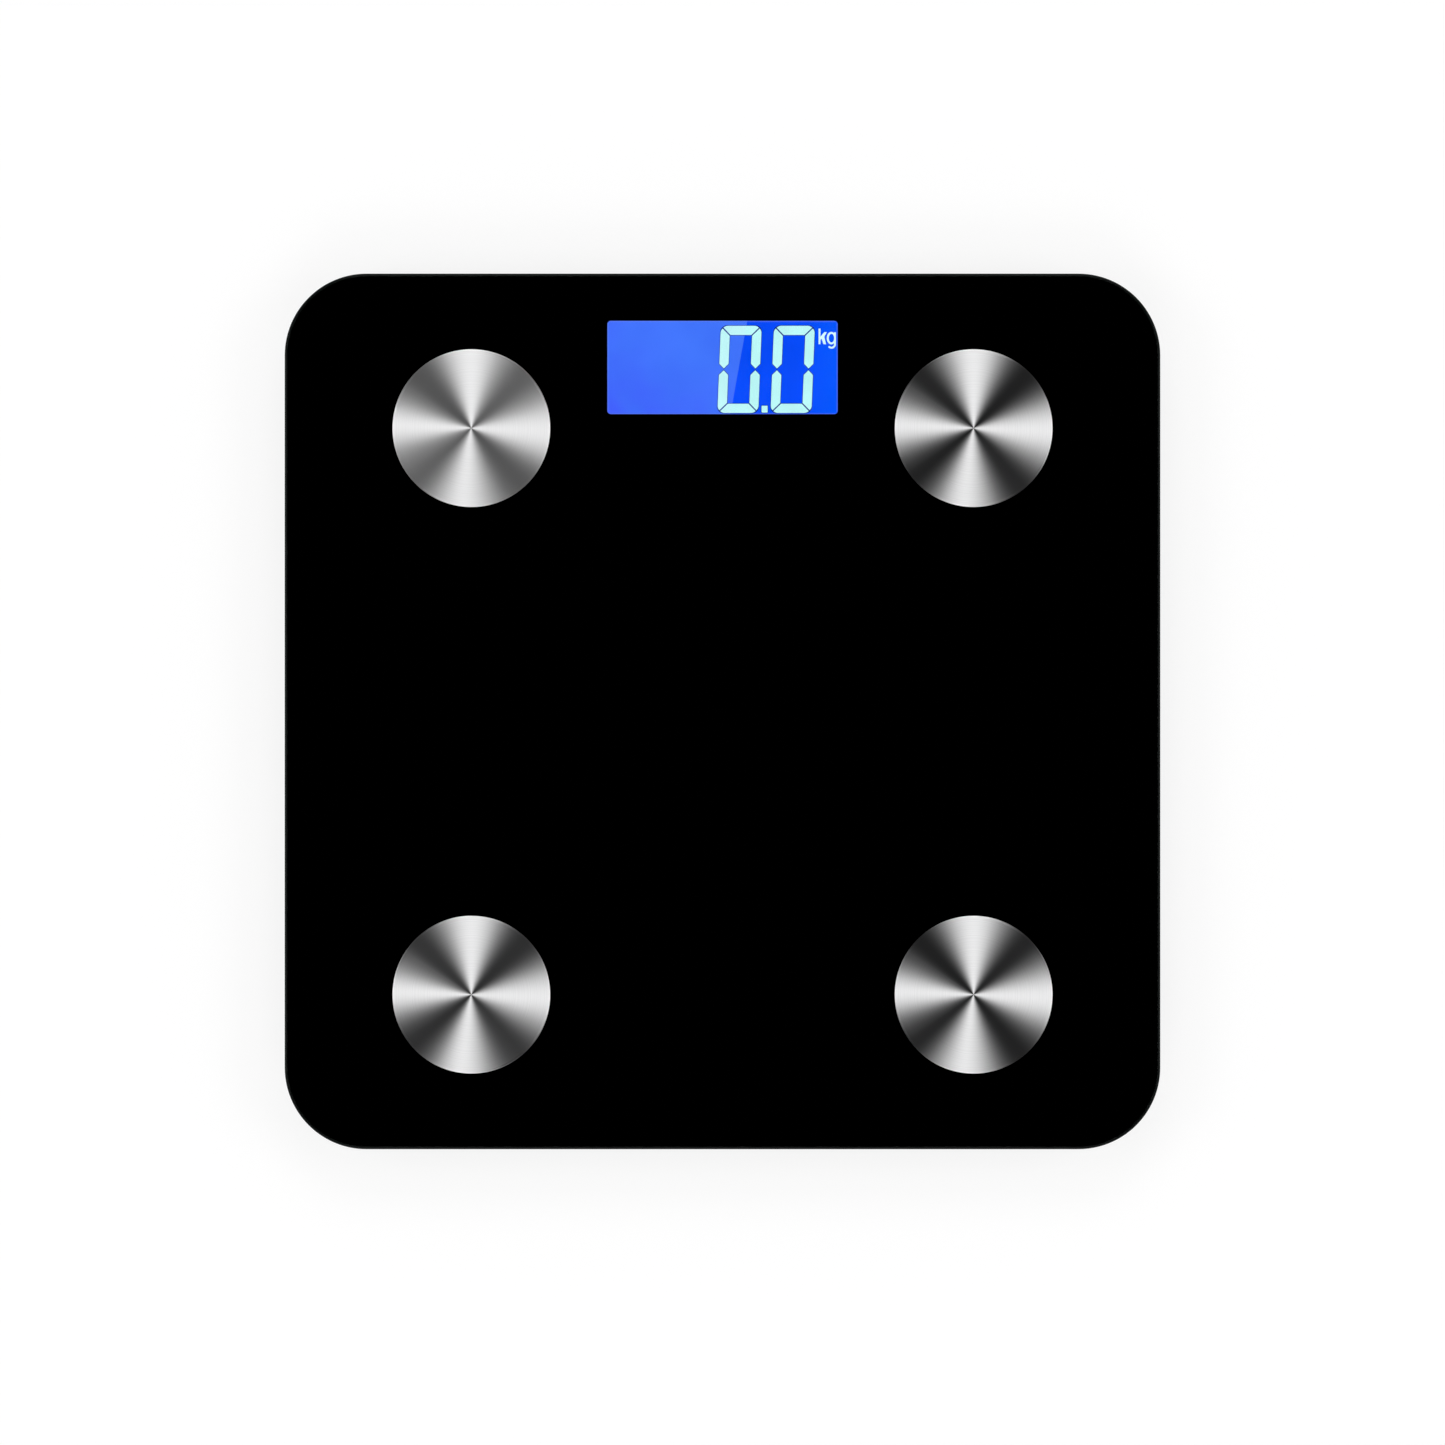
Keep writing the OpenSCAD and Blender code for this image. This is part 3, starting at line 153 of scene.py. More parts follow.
def lathe(name, profile, steps=192):
    """Turns a profile of (radius, height) round Z. The first map coordinate runs outwards."""
    bm = bmesh.new()
    layer = bm.loops.layers.uv.new(TURNED_MAP)
    reach = max(r for r, _ in profile)
    rings = []
    for r, z in profile:
        rings.append(ring_of(bm, circle_outline(0, 0, r, steps) if r else [(0, 0)], z))
    for i in range(len(profile) - 1):
        a, b = rings[i], rings[i + 1]
        ra, rb = profile[i][0] / reach, profile[i + 1][0] / reach
        for k in range(steps):
            k1 = (k + 1) % steps
            v0, v1 = k / steps, (k + 1) / steps
            if len(a) == 1:
                corners = [(a[0], ra, (v0 + v1) / 2), (b[k], rb, v0), (b[k1], rb, v1)]
            elif len(b) == 1:
                corners = [(a[k], ra, v0), (b[0], rb, (v0 + v1) / 2), (a[k1], ra, v1)]
            else:
                corners = [(a[k], ra, v0), (b[k], rb, v0), (b[k1], rb, v1), (a[k1], ra, v1)]
            face = bm.faces.new([c[0] for c in corners])
            for loop, (_, u, v) in zip(face.loops, corners):
                loop[layer].uv = (u, v)
    return finish_mesh(bm, name)


def stack_rings(bm, rings):
    """A solid through rings that lie one above the other, closed at both ends."""
    for lower, upper in zip(rings, rings[1:]):
        join_rings(bm, lower, upper)
    bm.faces.new(rings[-1])
    bm.faces.new(list(reversed(rings[0])))


def flat_shape(bm, outline, low, high):
    """Thin prism from a flat outline."""
    stack_rings(bm, [ring_of(bm, outline, z) for z in (low, high)])


# ---------------------------------------------------------------- material helpers


class NodeBench:
    """Adds and joins the nodes of a tree."""

    def __init__(self, owner, coordinates):
        owner.use_nodes = True
        self.tree = owner.node_tree
        self.tree.nodes.clear()
        self.place = self.node("ShaderNodeTexCoord").outputs[coordinates]

    def node(self, kind, **settings):
        made = self.tree.nodes.new(kind)
        for key, value in settings.items():
            setattr(made, key, value)
        return made

    def link(self, source, target):
        self.tree.links.new(source, target)

    def feed(self, target, value):
        if isinstance(value, bpy.types.NodeSocket):
            self.link(value, target)
        else:
            target.default_value = value

    def maths(self, operation, *values):
        """Result of a Math node's operation on the values."""
        made = self.node("ShaderNodeMath", operation=operation)
        for i, value in enumerate(values):
            self.feed(made.inputs[i], value)
        return made.outputs[0]

    def span(self, value, low, high, out_low, out_high, smooth=False):
        """Maps low to high onto out_low to out_high, and holds the ends."""
        made = self.node("ShaderNodeMapRange")
        made.interpolation_type = "SMOOTHSTEP" if smooth else "LINEAR"
        for i, entry in enumerate((value, low, high, out_low, out_high)):
            self.feed(made.inputs[i], entry)
        return made.outputs[0]

    def blend(self, factor, a, b):
        """Number between a, at 0, and b, at 1."""
        made = self.node("ShaderNodeMix", data_type="FLOAT")
        for i, value in ((0, factor), (2, a), (3, b)):
            self.feed(made.inputs[i], value)
        return made.outputs[0]

    def axes(self, vector=None):
        split = self.node("ShaderNodeSeparateXYZ")
        self.link(vector or self.place, split.inputs[0])
        return split.outputs

    def from_axis(self):
        """Distance from the upright axis."""
        x, y, _ = self.axes()
        squares = self.maths("ADD", self.maths("MULTIPLY", x, x), self.maths("MULTIPLY", y, y))
        return self.maths("SQRT", squares)


class Recipe(NodeBench):
    """A node material under construction."""

    def __init__(self, name):
        self.material = bpy.data.materials.new(name)
        super().__init__(self.material, "Object")
        self.out = self.node("ShaderNodeOutputMaterial")
        self.shader = self.node("ShaderNodeBsdfPrincipled")
        self.link(self.shader.outputs[0], self.out.inputs["Surface"])

    def scaled(self, factors):
        """The place, with each axis multiplied by its factor."""
        made = self.node("ShaderNodeVectorMath", operation="MULTIPLY")
        self.link(self.place, made.inputs[0])
        made.inputs[1].default_value = factors
        return made.outputs[0]

    def noise(self, size, detail=3.0, roughness=0.55, finer=(1, 1, 1)):
        """Noise from 0 to 1. Its features are about the given size in metres, and finer along
        each axis by its factor."""
        made = self.node("ShaderNodeTexNoise")
        made.inputs["Scale"].default_value = 1.0
        made.inputs["Detail"].default_value = detail
        made.inputs["Roughness"].default_value = roughness
        self.link(self.scaled(tuple(factor / size for factor in finer)), made.inputs["Vector"])
        return made.outputs[0]

    def spread(self, noise, out_low, out_high):
        """Maps the usual range of a noise onto out_low to out_high."""
        return self.span(noise, NOISE_LOW, NOISE_HIGH, out_low, out_high)

    def mix(self, factor, a, b, kind="MIX"):
        """Colour between a, at 0, and b, at 1."""
        made = self.node("ShaderNodeMix", data_type="RGBA", blend_type=kind)
        self.feed(made.inputs[0], factor)
        # The colour inputs are the seventh and eighth, and the colour output is the third.
        for socket, value in ((made.inputs[6], a), (made.inputs[7], b)):
            plain = not isinstance(value, bpy.types.NodeSocket)
            self.feed(socket, (*value[:3], 1.0) if plain else value)
        return made.outputs[2]

    def bump(self, height, depth):
        made = self.node("ShaderNodeBump")
        made.inputs["Strength"].default_value = 1.0
        made.inputs["Distance"].default_value = depth
        self.link(height, made.inputs["Height"])
        return made.outputs[0]

    def rounded_edges(self):
        """1 where the surface turns between a level face and an upright one, and 0 on both."""
        normal = self.node("ShaderNodeNewGeometry").outputs["Normal"]
        # 1 on a level face, and 0 on an upright one.
        tilt = self.maths("ABSOLUTE", self.axes(normal)[2])
        off_upright = self.span(tilt, 0.2, 0.45, 0.0, 1.0)
        off_level = self.span(tilt, 0.9, 0.985, 1.0, 0.0)
        return self.maths("MULTIPLY", off_upright, off_level)

    def set(self, **values):
        for key, value in values.items():
            self.feed(self.shader.inputs[key.replace("_", " ")], value)


def shade(colour, factor):
    return tuple(min(1.0, c * factor) for c in colour[:3])


def grained(
    name,
    colour,
    roughness,
    grain=0.4 * MM,
    depth=0.02 * MM,
    mottle=0.12,
    speckle=0.1,
    polish=0.06,
    metallic=0.0,
    finer=(1, 1, 1),
    worn=None,
):
    """Moulded, cast or rolled surface: mottled and speckled, unevenly polished, and worn.

    Grain is the size of the fine texture, and depth its relief. Mottle, speckle and polish say
    how much the large patches, the fine spots and the roughness vary. Worn is the colour of
    scuffed places and rubbed edges.
    """
    recipe = Recipe(name)
    patches = recipe.noise(40 * grain, detail=4.0)
    fine = recipe.noise(grain, detail=2.0, finer=finer)
    patched = recipe.spread(patches, 0.0, 1.0)
    tint = recipe.mix(patched, shade(colour, 1 - mottle), shade(colour, 1 + mottle))
    speckled = recipe.spread(fine, 1 - speckle, 1 + speckle)
    tint = recipe.mix(1.0, tint, speckled, kind="MULTIPLY")
    if worn:
        blotches = recipe.noise(9 * grain, detail=6.0, roughness=0.7)
        scuffs = recipe.span(blotches, 0.58, 0.7, 0.0, 0.5)
        rubbing = recipe.span(blotches, 0.42, 0.62, 0.0, 0.8)
        rubbed = recipe.maths("MULTIPLY", recipe.rounded_edges(), rubbing)
        tint = recipe.mix(recipe.maths("MAXIMUM", scuffs, rubbed), tint, worn)
    uneven = recipe.maths("ADD", patches, fine)
    rough = recipe.span(uneven, 0.6, 1.4, roughness - polish, roughness + polish)
    recipe.set(Base_Color=tint, Roughness=rough, Metallic=metallic, Normal=recipe.bump(fine, depth))
    return recipe.material


def dress(material, *nodes):
    """Gives frame nodes a finish."""
    for name in nodes:
        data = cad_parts[name].data
        data.materials.clear()
        data.materials.append(material)


# ---------------------------------------------------------------- sizes and colours


class PlatformSizes(bpy.types.PropertyGroup):
    corner_radius: bpy.props.FloatProperty(
        name="Corner Radius",
        description="Radius of the platform's corners",
        default=28 * MM,
        unit="LENGTH",
    )
    arris: bpy.props.FloatProperty(
        name="Arris", description="Rounding of the ground edge", default=0.8 * MM, unit="LENGTH"
    )
    seam: bpy.props.FloatProperty(
        name="Seam",
        description="Width of the painted line inside the ground edge, underneath",
        default=0.4 * MM,
        unit="LENGTH",
    )
    stud_hole: bpy.props.FloatProperty(
        name="Stud Hole",
        description="Diameter of the holes for the studs",
        default=4.2 * MM,
        unit="LENGTH",
    )
    edge_colour: bpy.props.FloatVectorProperty(
        name="Edge Colour",
        description="Colour of the ground glass edge",
        default=(0.002, 0.0034, 0.003),
        subtype="COLOR",
    )
    print_colour: bpy.props.FloatVectorProperty(
        name="Print Colour",
        description="Colour of the film under the glass",
        default=(0.0004, 0.0004, 0.0005),
        subtype="COLOR",
    )


class ElectrodeSizes(bpy.types.PropertyGroup):
    bead_width: bpy.props.FloatProperty(
        name="Bead Width",
        description="Width of the rolled bead round a disc",
        default=0.62 * MM,
        unit="LENGTH",
    )
    bead_rise: bpy.props.FloatProperty(
        name="Bead Rise",
        description="Height of the bead over the disc's face",
        default=0.12 * MM,
        unit="LENGTH",
    )
    stud_diameter: bpy.props.FloatProperty(
        name="Stud Diameter",
        description="Diameter of the stud under a disc",
        default=3 * MM,
        unit="LENGTH",
    )
    # The two angles lean the painted highlights as the lamps' reflections lean.
    painted_highlight_lean: bpy.props.FloatProperty(
        name="Wedge Lean",
        description="Angle by which the rear wedge leans",
        default=math.radians(-0.1),
        subtype="ANGLE",
    )
    painted_highlight_swing: bpy.props.FloatProperty(
        name="Wedge Swing",
        description="Angle by which the front wedge leans further than the rear one",
        default=math.radians(10.1),
        subtype="ANGLE",
    )
    # Painted highlight: the steel's colour in the bright wedges.
    bright: bpy.props.FloatVectorProperty(
        name="Bright Steel",
        description="Colour of the steel in the bright wedges",
        default=(0.91, 0.91, 0.915),
        subtype="COLOR",
    )
    # Painted shade: the steel's colour between the painted highlights.
    painted_shade_steel: bpy.props.FloatVectorProperty(
        name="Dull Steel",
        description="Colour of the steel between them",
        default=(0.048, 0.048, 0.049),
        subtype="COLOR",
    )
    # Painted shade between the painted highlights of the front left disc, a little paler.
    front_left_painted_shade: bpy.props.FloatVectorProperty(
        name="Middling Steel",
        description="Colour between the wedges of the front left disc",
        default=(0.09, 0.09, 0.0915),
        subtype="COLOR",
    )
    # Painted shade between the painted highlights of the rear left disc, paler still.
    pale: bpy.props.FloatVectorProperty(
        name="Pale Steel",
        description="Colour between the wedges of the rear left disc",
        default=(0.28, 0.28, 0.282),
        subtype="COLOR",
    )


class DisplaySizes(bpy.types.PropertyGroup):
    window_width: bpy.props.FloatProperty(
        name="Window Width", description="Width of the clear window", default=79 * MM, unit="LENGTH"
    )
    window_height: bpy.props.FloatProperty(
        name="Window Height",
        description="Height of the clear window",
        default=32 * MM,
        unit="LENGTH",
    )
    window_y: bpy.props.FloatProperty(
        name="Window Place",
        description="Distance of the window from the platform's middle",
        default=118 * MM,
        unit="LENGTH",
    )
    digit_width: bpy.props.FloatProperty(
        name="Digit Width", description="Width of a digit", default=14 * MM, unit="LENGTH"
    )
    digit_height: bpy.props.FloatProperty(
        name="Digit Height", description="Height of a digit", default=29.9 * MM, unit="LENGTH"
    )
    stroke: bpy.props.FloatProperty(
        name="Stroke", description="Width of a digit's segment", default=3.15 * MM, unit="LENGTH"
    )
    mitre_gap: bpy.props.FloatProperty(
        name="Mitre Gap",
        description="Width of the dark line between two segments",
        default=0.42 * MM,
        unit="LENGTH",
    )
    # The dark line round a segment is painted shadow.
    outline_width: bpy.props.FloatProperty(
        name="Outline Width",
        description="Width of the dark line round a segment",
        default=0.2 * MM,
        unit="LENGTH",
    )
    letter_stroke: bpy.props.FloatProperty(
        name="Letter Stroke",
        description="Width of a stroke of the unit's letters",
        default=0.64 * MM,
        unit="LENGTH",
    )
    slant: bpy.props.FloatProperty(
        name="Slant",
        description="Lean of the digits to the right",
        default=math.radians(2.3),
        subtype="ANGLE",
    )
    field_colour: bpy.props.FloatVectorProperty(
        name="Field Colour",
        description="Colour of the lit field",
        default=(0.0015, 0.0704, 0.955),
        subtype="COLOR",
    )
    # Painted reflection: the paler colour of the field's left part.
    painted_sheen_colour: bpy.props.FloatVectorProperty(
        name="Haze Colour",
        description="Colour of the field's paler left part",
        default=(0.0513, 0.1714, 0.985),
        subtype="COLOR",
    )
    end_colour: bpy.props.FloatVectorProperty(
        name="End Colour",
        description="Colour of the field's right end",
        default=(0.001, 0.098, 1.0),
        subtype="COLOR",
    )
    # Violet tint of the painted reflection, low on the field's left.
    tint_colour: bpy.props.FloatVectorProperty(
        name="Tint Colour",
        description="Violet tint low on the field's left",
        default=(0.055, 0.115, 0.99),
        subtype="COLOR",
    )
    # Painted highlight along the window's edge.
    painted_rim_highlight_colour: bpy.props.FloatVectorProperty(
        name="Rim Colour",
        description="Paler line along the window's edge",
        default=(0.16, 0.25, 0.88),
        subtype="COLOR",
    )
    digit_colour: bpy.props.FloatVectorProperty(
        name="Digit Colour",
        description="Colour of a lit segment",
        default=(0.53, 0.985, 0.975),
        subtype="COLOR",
    )
    # Painted reflection over a lit segment in the paler part.
    digit_painted_sheen_colour: bpy.props.FloatVectorProperty(
        name="Digit Haze Colour",
        description="Colour of a lit segment in the paler part",
        default=(0.56, 0.97, 0.985),
        subtype="COLOR",
    )


class CaseColours(bpy.types.PropertyGroup):
    tray: bpy.props.FloatVectorProperty(
        name="Tray",
        description="Colour of the moulded tray and door",
        default=(0.016, 0.016, 0.017),
        subtype="COLOR",
    )
    foot: bpy.props.FloatVectorProperty(
        name="Foot",
        description="Colour of the foot caps",
        default=(0.026, 0.026, 0.028),
        subtype="COLOR",
    )
    rubber: bpy.props.FloatVectorProperty(
        name="Rubber",
        description="Colour of the rubber pads",
        default=(0.085, 0.085, 0.09),
        subtype="COLOR",
    )
    button: bpy.props.FloatVectorProperty(
        name="Button",
        description="Colour of the unit button",
        default=(0.3, 0.31, 0.33),
        subtype="COLOR",
    )


class StudioSettings(bpy.types.PropertyGroup):
    lens: bpy.props.FloatProperty(
        name="Lens", description="Focal length", default=150.0, min=50.0, unit="CAMERA"
    )
    frame_width: bpy.props.FloatProperty(
        name="Frame Width",
        description="Width that the camera sees at the platform",
        default=494.9 * MM,
        unit="LENGTH",
    )
    aim_y: bpy.props.FloatProperty(
        name="Aim",
        description="Place of the view's middle along the platform",
        default=-3.8 * MM,
        unit="LENGTH",
    )
    lamp_power: bpy.props.FloatProperty(
        name="Lamp Power", description="Power of each soft lamp", default=7.0, min=0.0, unit="POWER"
    )
    ambient: bpy.props.FloatProperty(
        name="Ambient",
        description="Strength of the even light from all round",
        default=0.46,
        min=0.0,
    )
    card_strength: bpy.props.FloatProperty(
        name="Card Strength",
        description="Brightness of the four cards that the steel mirrors",
        default=0.9,
        min=0.0,
    )


# ---------------------------------------------------------------- platform

ARRIS_STEPS = 8
CORNER_STEPS = 28


def clear_glass(name):
    recipe = Recipe(name)
    smears = recipe.noise(30 * MM, detail=4.0)
    recipe.set(
        Base_Color=(1.0, 1.0, 1.0, 1.0),
        Roughness=recipe.span(smears, 0.5, 0.75, 0.0, 0.008),
        IOR=1.5,
        Transmission_Weight=1.0,
    )
    return recipe.material


def ground_edge(name, colour):
    recipe = Recipe(name)
    grind = recipe.noise(0.6 * MM, finer=(1, 1, 6))
    patched = recipe.spread(recipe.noise(20 * MM), 0.0, 1.0)
    recipe.set(
        Base_Color=recipe.mix(patched, shade(colour, 0.7), shade(colour, 1.4)),
        Roughness=recipe.spread(grind, 0.22, 0.34),
        IOR=1.5,
        Specular_IOR_Level=0.06,
        Normal=recipe.bump(grind, 0.004 * MM),
    )
    return recipe.material


def print_film(name, colour):
    recipe = Recipe(name)
    pinholes = recipe.noise(1.5 * MM, detail=2.0)
    thinned = recipe.spread(pinholes, 0.0, 1.0)
    recipe.set(
        Base_Color=recipe.mix(thinned, colour, shade(colour, 1.6)),
        Roughness=recipe.spread(pinholes, 0.9, 1.0),
        Specular_IOR_Level=0.0,
    )
    return recipe.material


def platform_mesh(sizes, low, high):
    """Glass sheet with a rounded edge all round and a hole for each electrode's stud."""
    width, depth = high.x - low.x, high.y - low.y
    radius, arris = sizes.corner_radius, sizes.arris
    quarter = [math.radians(90 * i / ARRIS_STEPS) for i in range(ARRIS_STEPS + 1)]
    levels = [(arris + sizes.seam, low.z)]
    for a in quarter:
        levels.append((arris * (1 - math.sin(a)), low.z + arris * (1 - math.cos(a))))
    for a in quarter:
        levels.append((arris * (1 - math.cos(a)), high.z - arris * (1 - math.sin(a))))
    bm = bmesh.new()
    rings = []
    for inset, z in levels:
        across, along = width - 2 * inset, depth - 2 * inset
        outline = rounded_outline(across, along, radius - inset, CORNER_STEPS)
        rings.append(ring_of(bm, outline, z))
    for lower, upper in zip(rings, rings[1:]):
        for face in join_rings(bm, lower, upper):
            face.material_index = 1
    holes = {low.z: [], high.z: []}
    for corner in CORNERS:
        a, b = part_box("electrode_" + corner)
        x, y = (a.x + b.x) / 2, (a.y + b.y) / 2
        outline = circle_outline(x, y, sizes.stud_hole / 2)
        pair = [ring_of(bm, outline, z) for z in (low.z, high.z)]
        join_rings(bm, pair[1], pair[0])
        holes[low.z].append(pair[0])
        holes[high.z].append(pair[1])
    caps = cap_rings(bm, [rings[0]] + holes[low.z], up=False)
    caps += cap_rings(bm, [rings[-1]] + holes[high.z], up=True)
    bmesh.ops.recalc_face_normals(bm, faces=bm.faces)
    shade_by_angle(bm)
    for face in caps:
        face.smooth = False
        for edge in face.edges:
            edge.smooth = False
    return store_mesh(bm, "platform_sheet")


class BATHSCALE_OT_platform(bpy.types.Operator):
    """Builds the glass sheet and its black print"""

    bl_idname = "bathscale.platform"
    bl_label = "Glass Platform"

    def execute(self, context):
        sizes = context.scene.bathscale_platform
        low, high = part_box("glass_platform")
        glass = clear_glass("platform_glass")
        edge = ground_edge("ground_glass_edge", sizes.edge_colour)
        add_piece(
            "platform_sheet",
            platform_mesh(sizes, low, high),
            ROOT_BODY,
            materials=(glass, edge),
            replaced=("glass_platform",),
        )
        dress(print_film("print_film", sizes.print_colour), "back_print")
        foam = grained("foam_tape", (0.03, 0.03, 0.031), 0.92, grain=0.5 * MM, depth=0.06 * MM)
        dress(foam, "rim_tape", "tower_tape", "display_gasket")
        return {"FINISHED"}


# ---------------------------------------------------------------- electrodes

# Bright wedges on a disc: painted highlights, where the lamps' reflections are painted into the
# steel's colour.
PAINTED_HIGHLIGHTS = 4.0
# The higher, the narrower a painted highlight. The left one's value fades out where the cosine of
# the turn reaches LEFT_EDGE.
NARROWING = 1.3
LEFT_NARROWING = 2.34
LEFT_EDGE = -0.84
# Width of the turning marks, and how finely the face and the bead are cut.
RING_PITCH = 0.28 * MM
FACE_BANDS = 6
BEAD_STEPS = 9
TIP_CHAMFER = 0.3 * MM


def spun_steel(name, sizes, painted_shade_steel):
    """Turned steel: fine rings, and four bright wedges that are painted highlights in the steel's
    colour, over painted shade. The front one leans, and the left one is narrower."""
    recipe = Recipe(name)
    x, y, _ = recipe.axes()
    turn = recipe.maths("ARCTAN2", y, x)
    # The painted highlights lean as the lamps' reflections lean, the front one most.
    frontness = recipe.span(recipe.maths("SINE", turn), 1.0, -1.0, 0.0, 1.0)
    bend = recipe.maths("POWER", frontness, 2.0)
    lean = recipe.maths("MULTIPLY_ADD", bend, sizes.painted_highlight_swing, sizes.painted_highlight_lean)
    wave = recipe.maths("COSINE", recipe.maths("MULTIPLY", recipe.maths("ADD", turn, lean), PAINTED_HIGHLIGHTS))
    rightness = recipe.maths("COSINE", turn)
    narrowing = recipe.span(rightness, -1.0, LEFT_EDGE, LEFT_NARROWING, NARROWING)
    # Painted highlight: 1 where a lamp's reflection is painted in, and 0 between.
    painted_highlight = recipe.maths("POWER", recipe.span(wave, -1.0, 1.0, 0.0, 1.0), narrowing)
    noise = recipe.node("ShaderNodeTexNoise", noise_dimensions="1D")
    noise.inputs["Scale"].default_value = 1.0
    noise.inputs["Detail"].default_value = 3.0
    recipe.link(recipe.maths("MULTIPLY", recipe.from_axis(), 1 / RING_PITCH), noise.inputs["W"])
    rings = noise.outputs[0]
    # Painted highlights over painted shade, in the steel's colour.
    steel = recipe.mix(painted_highlight, painted_shade_steel, sizes.bright)
    tangent = recipe.node("ShaderNodeTangent", direction_type="UV_MAP", uv_map=TURNED_MAP)
    recipe.set(
        Base_Color=recipe.mix(recipe.spread(rings, 0.0, 0.1), steel, shade(painted_shade_steel, 0.7)),
        Metallic=1.0,
        Roughness=recipe.spread(rings, 0.34, 0.38),
        Anisotropic=0.95,
        Normal=recipe.bump(rings, 0.0012 * MM),
        Tangent=tangent.outputs[0],
    )
    return recipe.material


def disc_profile(sizes, radius, thick, tip):
    """Half outline of a disc on its stud: level face, rolled bead and chamfered tip. Heights are
    from the top of the glass."""
    half = sizes.bead_width / 2
    face = thick - sizes.bead_rise
    stud = sizes.stud_diameter / 2
    level = radius - 2 * half - stud
    profile = [(0.0, face), (stud, face)]
    profile += [(stud + level * i / FACE_BANDS, face) for i in range(1, FACE_BANDS + 1)]
    for i in range(1, BEAD_STEPS):
        a = math.radians(180 * i / BEAD_STEPS)
        profile.append((radius - half - half * math.cos(a), face + sizes.bead_rise * math.sin(a)))
    profile += [(radius, face), (radius, 0.0), (stud, 0.0)]
    profile += [(stud, tip + TIP_CHAMFER), (stud - TIP_CHAMFER, tip), (0.0, tip)]
    return profile


class BATHSCALE_OT_electrodes(bpy.types.Operator):
    """Builds the four spun steel discs, their studs, ring tongues and nuts"""

    bl_idname = "bathscale.electrodes"
    bl_label = "Electrodes"

    def execute(self, context):
        sizes = context.scene.bathscale_electrodes
        steel = dict.fromkeys(CORNERS, spun_steel("spun_steel", sizes, sizes.painted_shade_steel))
        # The two left discs get paler painted shade between their painted highlights.
        steel["rear_left"] = spun_steel("spun_steel_rear_left_painted_shade", sizes, sizes.pale)
        steel["front_left"] = spun_steel("spun_steel_front_left_painted_shade", sizes, sizes.front_left_painted_shade)
        glass_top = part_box("glass_platform")[1].z
        for corner in CORNERS:
            low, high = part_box("electrode_" + corner)
            radius = (high.x - low.x) / 2
            profile = disc_profile(sizes, radius, high.z - glass_top, low.z - glass_top)
            add_piece(
                "disc_" + corner,
                lathe("disc_" + corner, profile),
                ROOT_BODY,
                place=((low.x + high.x) / 2, (low.y + high.y) / 2, glass_top),
                materials=(steel[corner],),
                replaced=("electrode_" + corner,),
            )
        bare = {"metallic": 1.0, "grain": 0.3 * MM}
        brass = grained("tinned_brass", (0.72, 0.66, 0.5), 0.32, depth=0.006 * MM, **bare)
        dress(brass, "electrode_terminals", "battery_contacts")
        nickel = grained("nickel_plate", (0.68, 0.67, 0.64), 0.24, depth=0.004 * MM, **bare)
        dress(nickel, "electrode_nuts", "board_screws", "battery_springs", "quartz_can")
        return {"FINISHED"}


# ---------------------------------------------------------------- display

# Places are from the window's middle.
DIGITS_X = (5.85 * MM, 24.1 * MM)
DIGITS_Y = -0.6 * MM
DIGIT_CORNER = 2.2 * MM
HALF_CORNER_STEPS = 6
# Half of the gap between two upright segments, at their tips.
TIP_GAP = 0.33 * MM
# Left between the outlines of two segments, so that their faces don't meet.
SLIT = 0.002 * MM
POINT_X, POINT_Y = 14.45 * MM, -14.25 * MM
POINT_WIDTH, POINT_HEIGHT, POINT_CORNER = 2.06 * MM, 2.34 * MM, 0.15 * MM
POINT_CORNER_STEPS = 4
# Place of each letter's lower left corner, in millimetres.
K_PLACE = (32.98, 8.05)
G_PLACE = (35.78, 8.02)
# Thickness of the digits and letters.
PLATE = 0.06 * MM
GLOW = 1.06
# Edge of the painted sheen, a reflection painted onto the display: it crosses the window's middle
# line here, and leans to the right.
PAINTED_SHEEN_X = 5.6 * MM
PAINTED_SHEEN_LEAN = 0.18
PAINTED_SHEEN_BLUR = 0.12 * MM


def painted_sheen(recipe):
    """1 in the paler left part of the display, where a reflection is painted, and 0 to the right of
    its slanting edge.
    """
    x, y, _ = recipe.axes()
    edge = recipe.maths("ADD", recipe.maths("MULTIPLY", y, PAINTED_SHEEN_LEAN), PAINTED_SHEEN_X)
    past = recipe.maths("SUBTRACT", x, edge)
    return recipe.span(past, -PAINTED_SHEEN_BLUR, PAINTED_SHEEN_BLUR, 1.0, 0.0, smooth=True)


